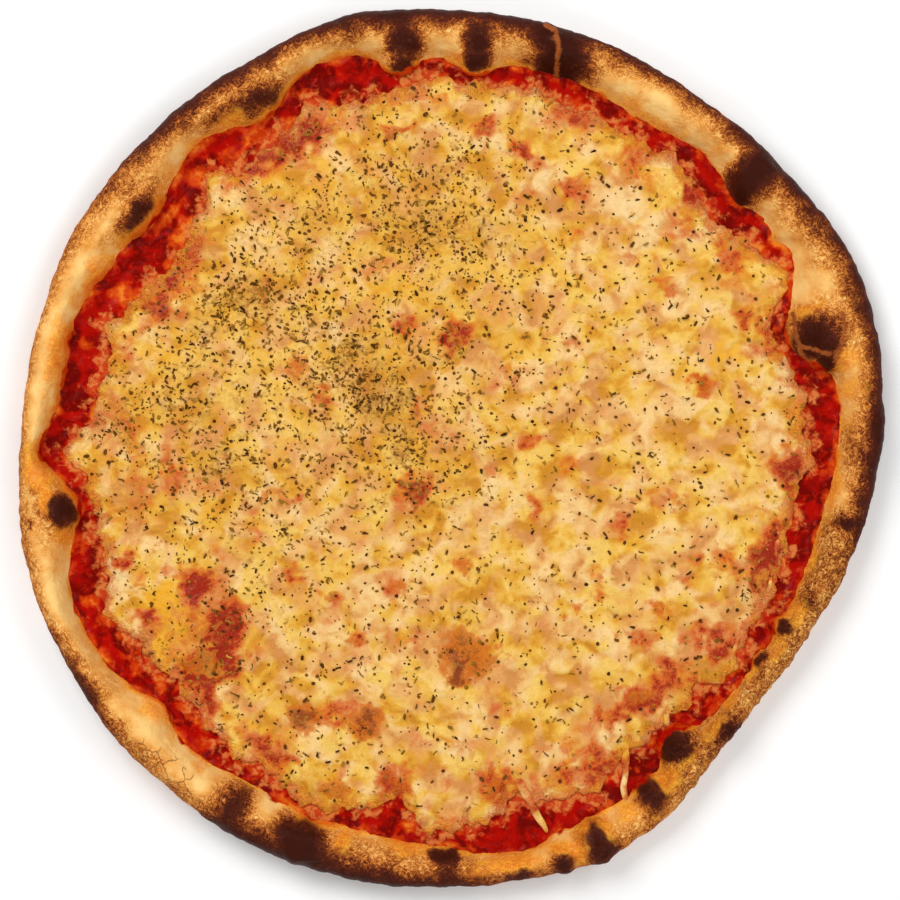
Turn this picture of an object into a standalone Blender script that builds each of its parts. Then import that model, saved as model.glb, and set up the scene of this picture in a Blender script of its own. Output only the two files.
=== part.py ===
"""A round cheese pizza with a blistered rim, tomato sauce, melted cheese and dried herb flakes.

The frame is in metres with +Z up. The origin is on the surface that the pizza lies on, under the
middle of its outline. Named sizes are in millimetres and are turned to metres where a mesh is made.
"""

import math
import random

import bmesh
import bpy
from mathutils import Euler, Matrix, Vector, noise
from mathutils.bvhtree import BVHTree

MM = 0.001

# Outlines, in millimetres from the middle, every ten degrees anticlockwise from +X
RIM_REACH = (
    159.2, 161.7, 164.8, 163.7, 161.1, 159.7, 160.2, 161.2, 161.7,
    162.9, 164.8, 164.5, 162.2, 162.1, 161.7, 161.3, 160.7, 159.7,
    160.1, 162.4, 163.2, 164.2, 164.2, 163.8, 164.5, 164.3, 163.8,
    162.8, 162.3, 162.2, 158.3, 150.3, 147.9, 148.8, 151.6, 155.8,
)
RIM_FOOT = (
    141.5, 143.0, 133.0, 144.0, 141.0, 142.5, 139.5, 142.0, 143.0,
    143.5, 147.5, 149.5, 140.0, 146.0, 139.5, 141.5, 146.5, 145.0,
    148.0, 141.5, 150.0, 150.5, 146.0, 146.5, 143.5, 145.5, 144.5,
    147.5, 150.0, 144.0, 142.0, 137.5, 136.5, 137.0, 137.0, 138.0,
)
CHEESE_REACH = (
    131.0, 132.0, 125.0, 136.0, 129.5, 135.0, 133.5, 134.0, 137.0,
    136.5, 135.5, 132.0, 130.5, 129.5, 127.5, 125.5, 135.0, 131.0,
    138.0, 135.0, 137.5, 137.5, 134.0, 139.0, 137.5, 142.5, 135.5,
    141.0, 134.0, 135.0, 130.5, 129.0, 131.5, 129.5, 129.5, 129.5,
)

# Crest of the rim, in millimetres above the table, every thirty degrees
RIM_CREST = (17.0, 19.0, 18.0, 17.5, 16.5, 16.5, 17.5, 18.5, 18.0, 16.0, 14.5, 15.5)

# Levels of the layers, with a gap of 0.3 mm between them
GAP = 0.3
FLOOR_LEVEL = 4.5
SAUCE_THICKNESS = 1.5
CHEESE_BODY = 2.0
CHEESE_EDGE = 0.9
SAUCE_BASE = FLOOR_LEVEL + GAP
SAUCE_LEVEL = SAUCE_BASE + SAUCE_THICKNESS
CHEESE_BASE = SAUCE_LEVEL + GAP

# The section that is spun, before it is fitted to the outlines
SPUN_REACH = 162.0
SPUN_FOOT = 142.0
SPUN_CREST = 17.0
RIM_STEPS = 112
ROUNDING = 0.01
MERGE_WITHIN = 1e-4

# Section of the rim: share of its width inwards from the outer edge, share of its crest height
RIM_SECTION = (
    (0.62, 0.0), (0.34, 0.03), (0.14, 0.16), (0.02, 0.36), (0.0, 0.55), (0.06, 0.78),
    (0.2, 0.94), (0.38, 1.0), (0.56, 0.94), (0.73, 0.74), (0.88, 0.46),
)

# Section of the sauce at its edge: distance inwards from the edge, height above its base
SAUCE_SECTION = ((0.5, 0.0), (0.0, 0.5), (0.6, 1.1), (3.0, 1.4), (8.0, SAUCE_THICKNESS))

# Relief: the length over which it changes, its height and the seed of its noise
RIM_SWELL = (30.0, 1.5, 1.5)
RIM_LUMPS = (13.0, 0.8, 7.5)
RIM_WOBBLE = (16.0, 0.9, 4.5)
SAUCE_DIPS = (9.0, 0.5, 2.5)
CHEESE_LUMPS = ((19.0, 0.75, 3.5), (9.5, 0.55, 8.5))
CHEESE_FALL = 14.0

# Air blisters in the dough: angle, distance from the middle, half length along the rim,
# half width across it and height above the dough around it
BLISTERS = (
    (16.8, 142.5, 10.5, 10.5, 3.2),
    (33.2, 138.8, 3.4, 3.0, 1.6),
    (42.0, 150.0, 6.5, 7.0, 1.8),
    (86.5, 143.0, 6.0, 4.5, 2.6),
    (98.0, 142.5, 6.5, 5.0, 2.4),
    (118.5, 145.0, 9.0, 5.5, 2.0),
    (142.5, 144.0, 9.0, 4.8, 2.6),
    (188.8, 146.0, 6.5, 6.5, 2.8),
    (221.5, 146.0, 6.5, 3.6, 1.8),
    (238.3, 156.0, 5.0, 6.5, 1.8),
    (249.0, 155.5, 8.0, 7.0, 2.2),
    (285.1, 157.5, 3.8, 4.6, 2.4),
    (290.3, 154.5, 5.5, 7.0, 3.0),
    (299.8, 147.3, 5.0, 6.2, 3.2),
    (307.2, 136.3, 7.0, 6.0, 4.2),
    (314.4, 144.5, 4.6, 3.4, 1.8),
    (325.8, 138.4, 3.2, 3.0, 1.8),
    (332.0, 138.4, 3.4, 3.0, 1.8),
)
BLISTER_SUNK = 3.0
BLISTER_ROOT = FLOOR_LEVEL - 1.5
BLISTER_UNEVEN = 0.08
CLEAR_OF_BLISTER = 0.6

# Strings of melted cheese across the sauce: start, middle and end on the table plane, half width
CHEESE_STRINGS = (
    ((60.0, -108.0), (60.5, -118.0), (63.5, -127.0), 1.9),
    ((24.0, -122.0), (29.0, -132.0), (35.0, -139.5), 2.3),
    ((123.0, -22.0), (122.5, -36.0), (117.0, -50.0), 1.6),
    ((110.0, -60.0), (107.0, -69.0), (98.5, -82.0), 1.6),
    ((78.0, -92.0), (80.0, -97.0), (80.5, -103.0), 1.5),
)
STRING_RINGS = 8
STRING_SIDES = 8
STRING_FLATNESS = 0.5
STRING_TAPER = 0.35
STRING_LIFT = 0.05

# The browned dome in the cheese: place on the table plane, radius and height
CHEESE_DOME = ((-99.0, -68.0), 19.0, 1.8)

# Herb flakes
FLAKE_COUNT = 130
FLAKE_LONG = (2.0, 3.4)
FLAKE_WIDE = (0.9, 1.4)
FLAKE_THICK = 0.65
FLAKE_LIFT = 0.05
FLAKE_TILT = 0.2
FLAKE_CLEAR = 4.2
FLAKE_MARGIN = 5.0

# Where herbs lie thickest: place on the table plane, spread and weight
HERB_DRIFTS = (
    ((-23.0, 22.0), 24.0, 1.0),
    ((-18.0, 80.0), 42.0, 0.75),
    ((-68.0, 52.0), 42.0, 0.7),
    ((-98.0, 0.0), 36.0, 0.45),
    ((20.0, 55.0), 45.0, 0.4),
)
HERB_EVERYWHERE = 0.12

CHEESE_GRID = 36
SHARP_FROM = 38.0
ABOVE_ALL = 60.0
SEED = 20


def between_knots(values, angle):
    """A smooth closed curve through values that are spread evenly round a turn."""
    place = (angle / math.tau % 1.0) * len(values)
    first = int(place)
    share = place - first
    a, b, c, d = (values[(first + step) % len(values)] for step in (-1, 0, 1, 2))
    slope_b = (c - a) / 2
    slope_c = (d - b) / 2
    square = share * share
    cube = square * share
    return (
        (2 * cube - 3 * square + 1) * b
        + (cube - 2 * square + share) * slope_b
        + (3 * square - 2 * cube) * c
        + (cube - square) * slope_c
    )


def polar(point):
    return math.hypot(point.x, point.y), math.atan2(point.y, point.x)


def on_plane(radius, angle):
    return radius * math.cos(angle), radius * math.sin(angle)


def smooth_step(low, high, value):
    share = min(max((value - low) / (high - low), 0.0), 1.0)
    return share * share * (3 - 2 * share)


def ripple(x, y, relief):
    """Smooth noise over the table plane, from a length, a height and a seed."""
    length, height, seed = relief
    return height * noise.noise(Vector((x / length, y / length, seed)))


def level_under(surface, x, y):
    """Height of a surface, looked up straight from above."""
    return surface.ray_cast(Vector((x, y, ABOVE_ALL)), Vector((0.0, 0.0, -1.0)))[0].z


def outline_middle():
    """Middle of the outline's box, so that the origin can be put under it."""
    points = [
        on_plane(between_knots(RIM_REACH, math.radians(degree)), math.radians(degree))
        for degree in range(360)
    ]
    xs = [x for x, _ in points]
    ys = [y for _, y in points]
    return Vector(((min(xs) + max(xs)) / 2, (min(ys) + max(ys)) / 2, 0.0))


def material(name, colour, roughness):
    made = bpy.data.materials.new(name)
    made.use_nodes = True
    shader = made.node_tree.nodes["Principled BSDF"]
    shader.inputs["Base Color"].default_value = (*colour, 1.0)
    shader.inputs["Roughness"].default_value = roughness
    shader.inputs["Metallic"].default_value = 0.0
    made.diffuse_color = (*colour, 1.0)
    return made


def object_from(name, mesh_maker, finish, middle):
    """A named object from a bmesh in millimetres, put into the frame."""
    mesh = bpy.data.meshes.new(name)
    mesh_maker.transform(Matrix.Scale(MM, 4) @ Matrix.Translation(-middle))
    mesh_maker.to_mesh(mesh)
    mesh_maker.free()
    mesh.materials.append(finish)
    made = bpy.data.objects.new(name, mesh)
    bpy.context.scene.collection.objects.link(made)
    return made


def spun(section, steps):
    """The closed body of a section that starts and ends on the Z axis."""
    body = bmesh.new()
    points = [body.verts.new((r, 0.0, z)) for r, z in section]
    for a, b in zip(points, points[1:]):
        body.edges.new((a, b))
    bmesh.ops.spin(
        body,
        geom=body.verts[:] + body.edges[:],
        cent=(0.0, 0.0, 0.0),
        axis=(0.0, 0.0, 1.0),
        angle=math.tau,
        steps=steps,
        use_merge=True,
    )
    bmesh.ops.remove_doubles(body, verts=body.verts, dist=MERGE_WITHIN)
    bmesh.ops.recalc_face_normals(body, faces=body.faces)
    return body


def fit_to_outline(point):
    """Moves a point of the spun section to where the real outline has it."""
    radius, angle = polar(point)
    reach = between_knots(RIM_REACH, angle)
    foot = between_knots(RIM_FOOT, angle)
    if radius <= SPUN_FOOT + ROUNDING:
        fitted = radius * foot / SPUN_FOOT
        height = point.z
    else:
        share = (SPUN_REACH - radius) / (SPUN_REACH - SPUN_FOOT)
        fitted = reach - share * (reach - foot)
        height = point.z * between_knots(RIM_CREST, angle) / SPUN_CREST
    point.x, point.y = on_plane(fitted, angle)
    point.z = height


def add_rim_relief(point):
    """Soft lumps of baked dough, none on the underside or at the foot."""
    radius, angle = polar(point)
    foot = between_knots(RIM_FOOT, angle)
    shown = smooth_step(1.0, 8.0, point.z) * smooth_step(foot + 0.5, foot + 5.0, radius)
    pushed = radius + shown * ripple(point.x, point.y, RIM_WOBBLE)
    point.z += shown * ripple(point.x, point.y, RIM_SWELL)
    point.z += shown * ripple(point.x, point.y, RIM_LUMPS)
    point.x, point.y = on_plane(pushed, angle)


def blister(surface, angle_deg, distance, half_long, half_wide, height):
    """A flattened ball that stands out of the dough at its place on the rim."""
    angle = math.radians(angle_deg)
    x, y = on_plane(distance, angle)
    ball = bmesh.new()
    bmesh.ops.create_icosphere(ball, subdivisions=2, radius=1.0)
    bmesh.ops.scale(ball, verts=ball.verts, vec=(half_wide, half_long, height + BLISTER_SUNK))
    for vert in ball.verts:
        uneven = noise.noise(vert.co * 0.35 + Vector((angle_deg, 0.0, 0.0)))
        vert.co *= 1.0 + BLISTER_UNEVEN * uneven
    bmesh.ops.rotate(
        ball, verts=ball.verts, cent=(0.0, 0.0, 0.0), matrix=Matrix.Rotation(angle, 3, "Z")
    )
    level = level_under(surface, x, y) - BLISTER_SUNK
    bmesh.ops.translate(ball, verts=ball.verts, vec=(x, y, level))
    bmesh.ops.bisect_plane(
        ball,
        geom=ball.verts[:] + ball.edges[:] + ball.faces[:],
        plane_co=(0.0, 0.0, BLISTER_ROOT),
        plane_no=(0.0, 0.0, -1.0),
        clear_outer=True,
    )
    cut = [edge for edge in ball.edges if edge.is_boundary]
    bmesh.ops.holes_fill(ball, edges=cut)
    return ball


def join_with(base, extras, operation="UNION", solver="EXACT"):
    """One Boolean of a collection's objects on the base, applied, with the collection removed."""
    group = bpy.data.collections.new(f"{base.name}_extras")
    bpy.context.scene.collection.children.link(group)
    for extra in extras:
        bpy.context.scene.collection.objects.unlink(extra)
        group.objects.link(extra)
    modifier = base.modifiers.new("join", "BOOLEAN")
    modifier.operation = operation
    modifier.operand_type = "COLLECTION"
    modifier.collection = group
    modifier.solver = solver
    bpy.context.view_layer.update()
    evaluated = base.evaluated_get(bpy.context.evaluated_depsgraph_get())
    joined = bpy.data.meshes.new_from_object(evaluated)
    base.modifiers.clear()
    base.data = joined
    for extra in extras:
        bpy.data.objects.remove(extra)
    bpy.data.collections.remove(group)


def shade(thing):
    thing.data.shade_smooth()
    thing.data.set_sharp_from_angle(angle=math.radians(SHARP_FROM))


def crust_body():
    rim = [
        (SPUN_REACH - u * (SPUN_REACH - SPUN_FOOT), v * SPUN_CREST) for u, v in RIM_SECTION
    ]
    section = [(0.0, 0.0), *rim, (SPUN_FOOT, FLOOR_LEVEL), (0.0, FLOOR_LEVEL)]
    body = spun(section, RIM_STEPS)
    for vert in body.verts:
        fit_to_outline(vert.co)
        add_rim_relief(vert.co)
    return body


def make_crust(middle):
    """The dough: a flat base with a raised rim and air blisters."""
    dough = material("baked_dough", (0.62, 0.36, 0.15), 0.75)
    body = crust_body()
    surface = BVHTree.FromBMesh(body)
    balls = [
        object_from(f"blister_{index}", blister(surface, *size), dough, middle)
        for index, size in enumerate(BLISTERS)
    ]
    crust = object_from("crust", body, dough, middle)
    join_with(crust, balls)
    shade(crust)
    return surface


def make_sauce(surface, middle):
    """The tomato sauce: a thin layer out to the foot of the rim, cut round the blisters in it."""
    tomato = material("tomato_sauce", (0.42, 0.02, 0.01), 0.3)
    edge = SPUN_FOOT - GAP
    bank = [(edge - inwards, SAUCE_BASE + up) for inwards, up in SAUCE_SECTION]
    body = spun([(0.0, SAUCE_BASE), *bank, (0.0, SAUCE_LEVEL)], RIM_STEPS)
    for vert in body.verts:
        fit_to_outline(vert.co)
        dip = max(0.0, ripple(vert.co.x, vert.co.y, SAUCE_DIPS))
        vert.co.z -= dip * smooth_step(SAUCE_BASE + 1.0, SAUCE_LEVEL, vert.co.z)
    sauce = object_from("sauce", body, tomato, middle)
    cutters = []
    for index, (angle, distance, half_long, half_wide, height) in enumerate(BLISTERS):
        foot = between_knots(RIM_FOOT, math.radians(angle))
        if distance - half_wide > foot + 1.0:
            continue
        sizes = (size + CLEAR_OF_BLISTER for size in (half_long, half_wide, height))
        wider = blister(surface, angle, distance, *sizes)
        bmesh.ops.recalc_face_normals(wider, faces=wider.faces)
        cutters.append(object_from(f"sauce_cut_{index}", wider, tomato, middle))
    join_with(sauce, cutters, operation="DIFFERENCE")
    shade(sauce)


def disc_from_grid(point):
    """Maps the unit square to the unit disc with even spacing."""
    a, b = point.x, point.y
    if abs(a) < 1e-9 and abs(b) < 1e-9:
        return 0.0, 0.0
    if abs(a) > abs(b):
        radius, angle = a, math.pi / 4 * (b / a)
    else:
        radius, angle = b, math.pi / 2 - math.pi / 4 * (a / b)
    return radius * math.cos(angle), radius * math.sin(angle)


def cheese_height(x, y, edge_distance):
    """Top of the melted cheese above its base at a place on the table plane."""
    fullness = smooth_step(0.0, CHEESE_FALL, edge_distance)
    body = CHEESE_EDGE + (CHEESE_BODY - CHEESE_EDGE) * fullness
    lumps = sum(ripple(x, y, relief) for relief in CHEESE_LUMPS)
    (dome_x, dome_y), dome_radius, dome_height = CHEESE_DOME
    away = math.hypot(x - dome_x, y - dome_y) / dome_radius
    dome = dome_height * (1.0 - smooth_step(0.35, 1.0, away))
    return body + lumps * smooth_step(1.0, 10.0, edge_distance) + dome


def cheese_body():
    """The cheese layer with its lumpy top, thin at the edge."""
    body = bmesh.new()
    bmesh.ops.create_grid(body, x_segments=CHEESE_GRID, y_segments=CHEESE_GRID, size=1.0)
    for vert in body.verts:
        x, y = disc_from_grid(vert.co)
        share = math.hypot(x, y)
        angle = math.atan2(y, x)
        reach = between_knots(CHEESE_REACH, angle)
        x, y = on_plane(share * reach, angle)
        vert.co = (x, y, CHEESE_BASE + cheese_height(x, y, (1.0 - share) * reach))
    top = body.faces[:]
    rim = [edge for edge in body.edges if edge.is_boundary]
    side = bmesh.ops.extrude_edge_only(body, edges=rim)["geom"]
    for vert in (item for item in side if isinstance(item, bmesh.types.BMVert)):
        vert.co.z = CHEESE_BASE
    bottom = [edge for edge in body.edges if edge.is_boundary]
    bmesh.ops.contextual_create(body, geom=bottom)
    bmesh.ops.recalc_face_normals(body, faces=body.faces)
    bmesh.ops.triangulate(body, faces=top)
    return body


def herb_share(x, y):
    """How thickly the herbs lie at a place, from 0 to about 1."""
    total = HERB_EVERYWHERE
    for (drift_x, drift_y), spread, weight in HERB_DRIFTS:
        away = math.hypot(x - drift_x, y - drift_y) / spread
        total += weight * math.exp(-away * away)
    return min(total, 1.0)


def flake_places(draw):
    """Places for the flakes, thicker where the herbs lie, and clear of each other."""
    placed = []
    while len(placed) < FLAKE_COUNT:
        angle = draw.uniform(0.0, math.tau)
        reach = between_knots(CHEESE_REACH, angle) - FLAKE_MARGIN
        x, y = on_plane(reach * math.sqrt(draw.random()), angle)
        if draw.random() > herb_share(x, y):
            continue
        if all(math.hypot(x - a, y - b) > FLAKE_CLEAR for a, b in placed):
            placed.append((x, y))
    return placed


def flake(surface, x, y, size_share, draw):
    """One crumbled leaf, half sunk in the cheese."""
    half_long = (FLAKE_LONG[0] + size_share * (FLAKE_LONG[1] - FLAKE_LONG[0])) / 2
    half_wide = (FLAKE_WIDE[0] + size_share * (FLAKE_WIDE[1] - FLAKE_WIDE[0])) / 2
    leaf = bmesh.new()
    bmesh.ops.create_icosphere(leaf, subdivisions=1, radius=1.0)
    bmesh.ops.scale(leaf, verts=leaf.verts, vec=(half_long, half_wide, FLAKE_THICK))
    tilts = [draw.uniform(-FLAKE_TILT, FLAKE_TILT) for _ in range(2)]
    turn = Euler((*tilts, draw.uniform(0.0, math.tau)))
    bmesh.ops.rotate(leaf, verts=leaf.verts, cent=(0.0, 0.0, 0.0), matrix=turn.to_matrix())
    level = level_under(surface, x, y) + FLAKE_LIFT
    bmesh.ops.translate(leaf, verts=leaf.verts, vec=(x, y, level))
    return leaf


def cheese_string(points, half_wide):
    """A flattened string of cheese that lies just clear of the sauce."""
    start, middle, end = (Vector((x, y)) for x, y in points)
    string = bmesh.new()
    bmesh.ops.create_uvsphere(
        string, u_segments=STRING_SIDES, v_segments=STRING_RINGS, radius=1.0
    )
    for vert in string.verts:
        across, up, along = vert.co
        share = (1.0 + along) / 2
        place = start * (1 - share) ** 2 + middle * 2 * share * (1 - share) + end * share**2
        ahead = ((middle - start) * (1 - share) + (end - middle) * share).normalized()
        across *= half_wide * (1.0 - STRING_TAPER * share)
        height = CHEESE_BASE + STRING_LIFT + half_wide * STRING_FLATNESS * (1.0 + up)
        vert.co = (place.x - ahead.y * across, place.y + ahead.x * across, height)
    bmesh.ops.recalc_face_normals(string, faces=string.faces)
    return string


def make_cheese(middle):
    """The melted cheese with its strings and the herb flakes, as one solid."""
    melted = material("melted_cheese", (0.80, 0.53, 0.19), 0.4)
    body = cheese_body()
    surface = BVHTree.FromBMesh(body)
    cheese = object_from("cheese", body, melted, middle)
    draw = random.Random(SEED)
    extras = []
    for index, (*points, half_wide) in enumerate(CHEESE_STRINGS):
        extras.append(object_from(f"string_{index}", cheese_string(points, half_wide), melted, middle))
    for index, (x, y) in enumerate(flake_places(draw)):
        leaf = flake(surface, x, y, 1.0 - index / FLAKE_COUNT, draw)
        extras.append(object_from(f"flake_{index}", leaf, melted, middle))
    join_with(cheese, extras)
    shade(cheese)


def main():
    for old in list(bpy.data.objects):
        bpy.data.objects.remove(old)
    middle = outline_middle()
    surface = make_crust(middle)
    make_sauce(surface, middle)
    make_cheese(middle)


main()
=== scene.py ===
"""The looks of a round cheese pizza: baked dough, tomato sauce, melted cheese and dried herbs.

The frame is in metres with +Z up. Sizes here are in millimetres, on the table plane from the point
that the outlines are drawn from, with +X to the right and +Y up in the view from above.
"""

import math
import random

import bmesh
import bpy
import numpy as np
from mathutils import Euler, Matrix, Vector, noise
from mathutils.bvhtree import BVHTree


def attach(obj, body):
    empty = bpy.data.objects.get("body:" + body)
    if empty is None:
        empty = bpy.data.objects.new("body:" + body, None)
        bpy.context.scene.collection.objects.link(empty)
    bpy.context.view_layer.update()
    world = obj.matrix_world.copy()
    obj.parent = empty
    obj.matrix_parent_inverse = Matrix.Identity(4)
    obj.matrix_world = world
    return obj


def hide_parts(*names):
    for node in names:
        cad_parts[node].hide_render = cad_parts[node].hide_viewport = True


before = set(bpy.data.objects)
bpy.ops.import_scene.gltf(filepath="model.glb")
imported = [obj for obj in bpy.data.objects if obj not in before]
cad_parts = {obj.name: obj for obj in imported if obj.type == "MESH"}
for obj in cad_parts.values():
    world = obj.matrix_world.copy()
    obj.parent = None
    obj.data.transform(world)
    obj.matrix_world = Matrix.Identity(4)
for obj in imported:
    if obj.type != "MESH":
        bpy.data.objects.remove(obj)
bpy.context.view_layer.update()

MM = 0.001

# Outlines, in millimetres from the middle, every ten degrees anticlockwise from +X
RIM_REACH = (
    159.2, 161.7, 164.8, 163.7, 161.1, 159.7, 160.2, 161.2, 161.7,
    162.9, 164.8, 164.5, 162.2, 162.1, 161.7, 161.3, 160.7, 159.7,
    160.1, 162.4, 163.2, 164.2, 164.2, 163.8, 164.5, 164.3, 163.8,
    162.8, 162.3, 162.2, 158.3, 150.3, 147.9, 148.8, 151.6, 155.8,
)
RIM_FOOT = (
    141.5, 143, 133, 144, 141, 142.5, 139.5, 142, 143,
    143.5, 147.5, 149.5, 140, 146, 139.5, 141.5, 146.5, 145,
    148, 141.5, 150, 150.5, 146, 146.5, 143.5, 145.5, 144.5,
    147.5, 150, 144, 142, 137.5, 136.5, 137, 137, 138,
)
CHEESE_REACH = (
    131, 132, 125, 136, 129.5, 135, 133.5, 134, 137,
    136.5, 135.5, 132, 130.5, 129.5, 127.5, 125.5, 135, 131,
    138, 135, 137.5, 137.5, 134, 139, 137.5, 142.5, 135.5,
    141, 134, 135, 130.5, 129, 131.5, 129.5, 129.5, 129.5,
)

# Height of the rim's crest every thirty degrees
RIM_CREST = (17.0, 19.0, 18.0, 17.5, 16.5, 16.5, 17.5, 18.5, 18.0, 16.0, 14.5, 15.5)

# Where an outline leaves its even course: angle, half width in degrees, distance outwards
FOOT_BULGES = (
    (16.5, 4.5, -4), (33.2, 1.6, -3), (42, 2.6, -3), (86.4, 3.6, -4.5), (98, 3.2, -7), (180.5, 3, 4),
    (187.5, 4, -3), (221.5, 3.4, -3), (269, 2, -1.5), (254, 3, -1.5), (285, 2, -1), (307.2, 3.6, -6.5),
    (325.8, 1.4, -2), (332, 1.6, -2),
)
CHEESE_BULGES = (
    (26.5, 3.6, 6.5), (47, 2, -2), (113, 3.4, 7), (131.5, 2, 8), (145, 4, -2), (180, 2.6, 5), (206, 3, 4),
    (215.5, 2.4, 3), (261.5, 1.8, -5), (266, 2, 3.5), (280.5, 2.4, -3), (275, 2.4, 3), (293.5, 2.6, 4),
    (316, 2.2, -4), (358, 3, 4),
)

# Levels of the layers, how far the dough's floor starts inside the foot of the rim and the sauce
# goes under it, the thickness of the cheese and of its edge, and how far it sinks into the sauce
FLOOR_LEVEL = 4.5
SAUCE_BASE = 4.8
SAUCE_LEVEL = 6.3
FLOOR_INSET = 8.0
SAUCE_TUCK = 2.6
CHEESE_BASE = 6.6
CHEESE_BODY = 2.0
CHEESE_EDGE = 0.4
CHEESE_SINK = 0.6

# The rim as it is spun, round and even: its radii and crest, then its section by shares of
# its width inwards and of its crest
SPUN_REACH = 162.0
SPUN_FOOT = 142.0
SPUN_CREST = 17.0
ROUNDING = 0.01
RIM_SECTION = (
    (0.62, 0.0), (0.34, 0.03), (0.14, 0.16), (0.02, 0.36), (0.0, 0.55), (0.06, 0.78),
    (0.2, 0.94), (0.38, 1.0), (0.56, 0.94), (0.73, 0.74), (0.88, 0.46), (1.0, 0.265),
)

# How finely the pieces are divided, and how far their evenly divided parts reach
CRUST_STEPS = 900
SAUCE_STEPS = 720
CHEESE_GRID = 296
UNDERSIDE_REACH = 146.0
UNDERSIDE_STEP = 9.0
SAUCE_FINE_REACH = 44.0
SAUCE_FINE_STEP = 0.75
SAUCE_HIDDEN_REACH = 60.0
STRING_SIDES = 16
STRING_STEPS = 60

# Air blisters: angle, distance, half length along the rim, half width across it, height
BLISTERS = (
    (33.2, 138.8, 3.4, 3, 1.6), (42, 150, 6.5, 7, 1.8), (86.5, 143, 6, 4.5, 2.6),
    (98, 142.5, 6.5, 5, 2.4), (118.5, 145, 9, 5.5, 1.8), (142.5, 144, 9, 4.8, 2.6),
    (188.8, 146, 6.5, 6.5, 2.8), (221.5, 146, 6.5, 3.6, 1.8), (238.3, 156, 5, 6.5, 1.8),
    (249, 155.5, 8, 7, 2.2), (285.1, 157.5, 3.8, 4.6, 2.4), (290.3, 154.5, 5.5, 7, 3),
    (299.8, 147.3, 5, 6.2, 3.2), (307.2, 136.3, 7, 6, 4.2), (314.4, 144.5, 4.6, 3.4, 1.8),
    (325.8, 138.4, 3.2, 3, 1.8), (332, 138.4, 3.4, 3, 1.8), (337.3, 143.5, 2.8, 2.5, 1),
    (213.5, 146.2, 2.6, 2, 1.2), (185.3, 154.8, 3, 2.4, 1), (153, 146, 4.5, 4, 1.2),
    (166.5, 150.5, 12, 4, 0.8), (278, 155, 9, 3, 0.9),
)
BURST_BLISTER = (16.8, 140.8, 11.0, 11.5, 3.2)

# How dark the outermost dough is, and how far in the golden brown reaches, every ten degrees
EDGE_CHAR = (
    0.85, 0.6, 0.7, 0.65, 0.9, 0.6, 0.65, 0.7, 0.8, 0.8, 0.9, 0.7, 0.65, 0.7, 0.5, 0.35, 0.1, 0.05,
    0.1, 0.25, 0.2, 0.5, 0.4, 0.15, 0.8, 0.95, 0.85, 0.7, 0.35, 0.35, 0.15, 0.1, 0.1, 0.15, 0.3, 0.65,
)
BROWN_DEPTH = (
    14, 11, 11, 12, 10, 7, 6, 7, 9, 8, 9, 8, 12, 10, 9, 5, 3, 2,
    2.5, 3.5, 4, 7, 6, 5, 10, 13, 14, 12, 9, 8, 12, 12, 12, 11, 10, 12,
)

# How far oil has climbed from the foot of the rim, every ten degrees
OIL_DEPTH = (
    2.4, 2.4, 1.2, 1, 1.2, 2, 2.4, 1.8, 2.2, 2.4, 2.6, 3, 3.2, 3.2, 3, 4, 4.6, 4.6,
    3.6, 3, 1.4, 1.4, 2, 1.8, 1.6, 3, 3.6, 2.8, 2.8, 3, 2.4, 2.2, 1.6, 1.8, 2.4, 2.6,
)

# Marks on the dough: angle, distance, half length along the rim, half width across it, strength
CHARRED = (
    (16.9, 140.4, 8, 9, 1), (12.9, 141.6, 3.6, 3.4, 1), (7, 140.2, 2.7, 2.6, 1),
    (42.3, 150.5, 6.3, 12.5, 1), (41.5, 142, 4, 4, 1), (75.8, 157, 9.5, 7, 1), (73.8, 148, 9, 9, 1),
    (86.4, 143.6, 5.6, 4.4, 0.95), (86.4, 151.5, 4.6, 9, 0.75), (98.2, 142.3, 5, 4.2, 0.8),
    (96.8, 153, 5.6, 9, 0.75), (96.5, 162, 9, 2.5, 0.8), (118.6, 147.5, 7, 4.5, 0.32),
    (122, 150.5, 5, 2.4, 0.35), (126, 151.2, 4.5, 1.6, 0.3), (142.6, 144.3, 5.6, 3.4, 0.6),
    (145, 145.6, 6, 2.8, 0.4), (189.2, 145.6, 4.4, 4, 0.9), (190, 157.8, 1.6, 0.9, 0.7),
    (213.5, 162, 10, 3.2, 0.6), (206, 163, 4, 1.5, 0.5), (238.4, 156, 4.8, 8, 0.75),
    (248.9, 156, 8.2, 8.2, 0.95), (269, 150.5, 4.4, 3.6, 0.8), (269.2, 158.5, 4, 5, 0.6),
    (279.2, 159.8, 4.6, 2.2, 0.7), (285.1, 158.4, 3.5, 4.4, 0.95), (290.3, 154.9, 5.2, 7.3, 0.95),
    (299.9, 147.3, 5, 6.4, 1), (307.2, 136.3, 6.8, 6, 1), (314.4, 145.6, 4.8, 3.2, 0.8),
    (325.8, 138.4, 2.9, 2.4, 0.55), (332, 138.4, 3, 2.5, 0.6), (337.3, 143.5, 2.8, 2.4, 0.35),
    (349.3, 149.8, 2.6, 5.5, 0.75), (33.2, 138.8, 3.2, 2.8, 0.45), (0.4, 135.6, 2, 1.6, 0.8),
    (2.5, 157, 8, 3, 0.6), (336, 134.5, 3, 2.6, 0.3),
)
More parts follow.
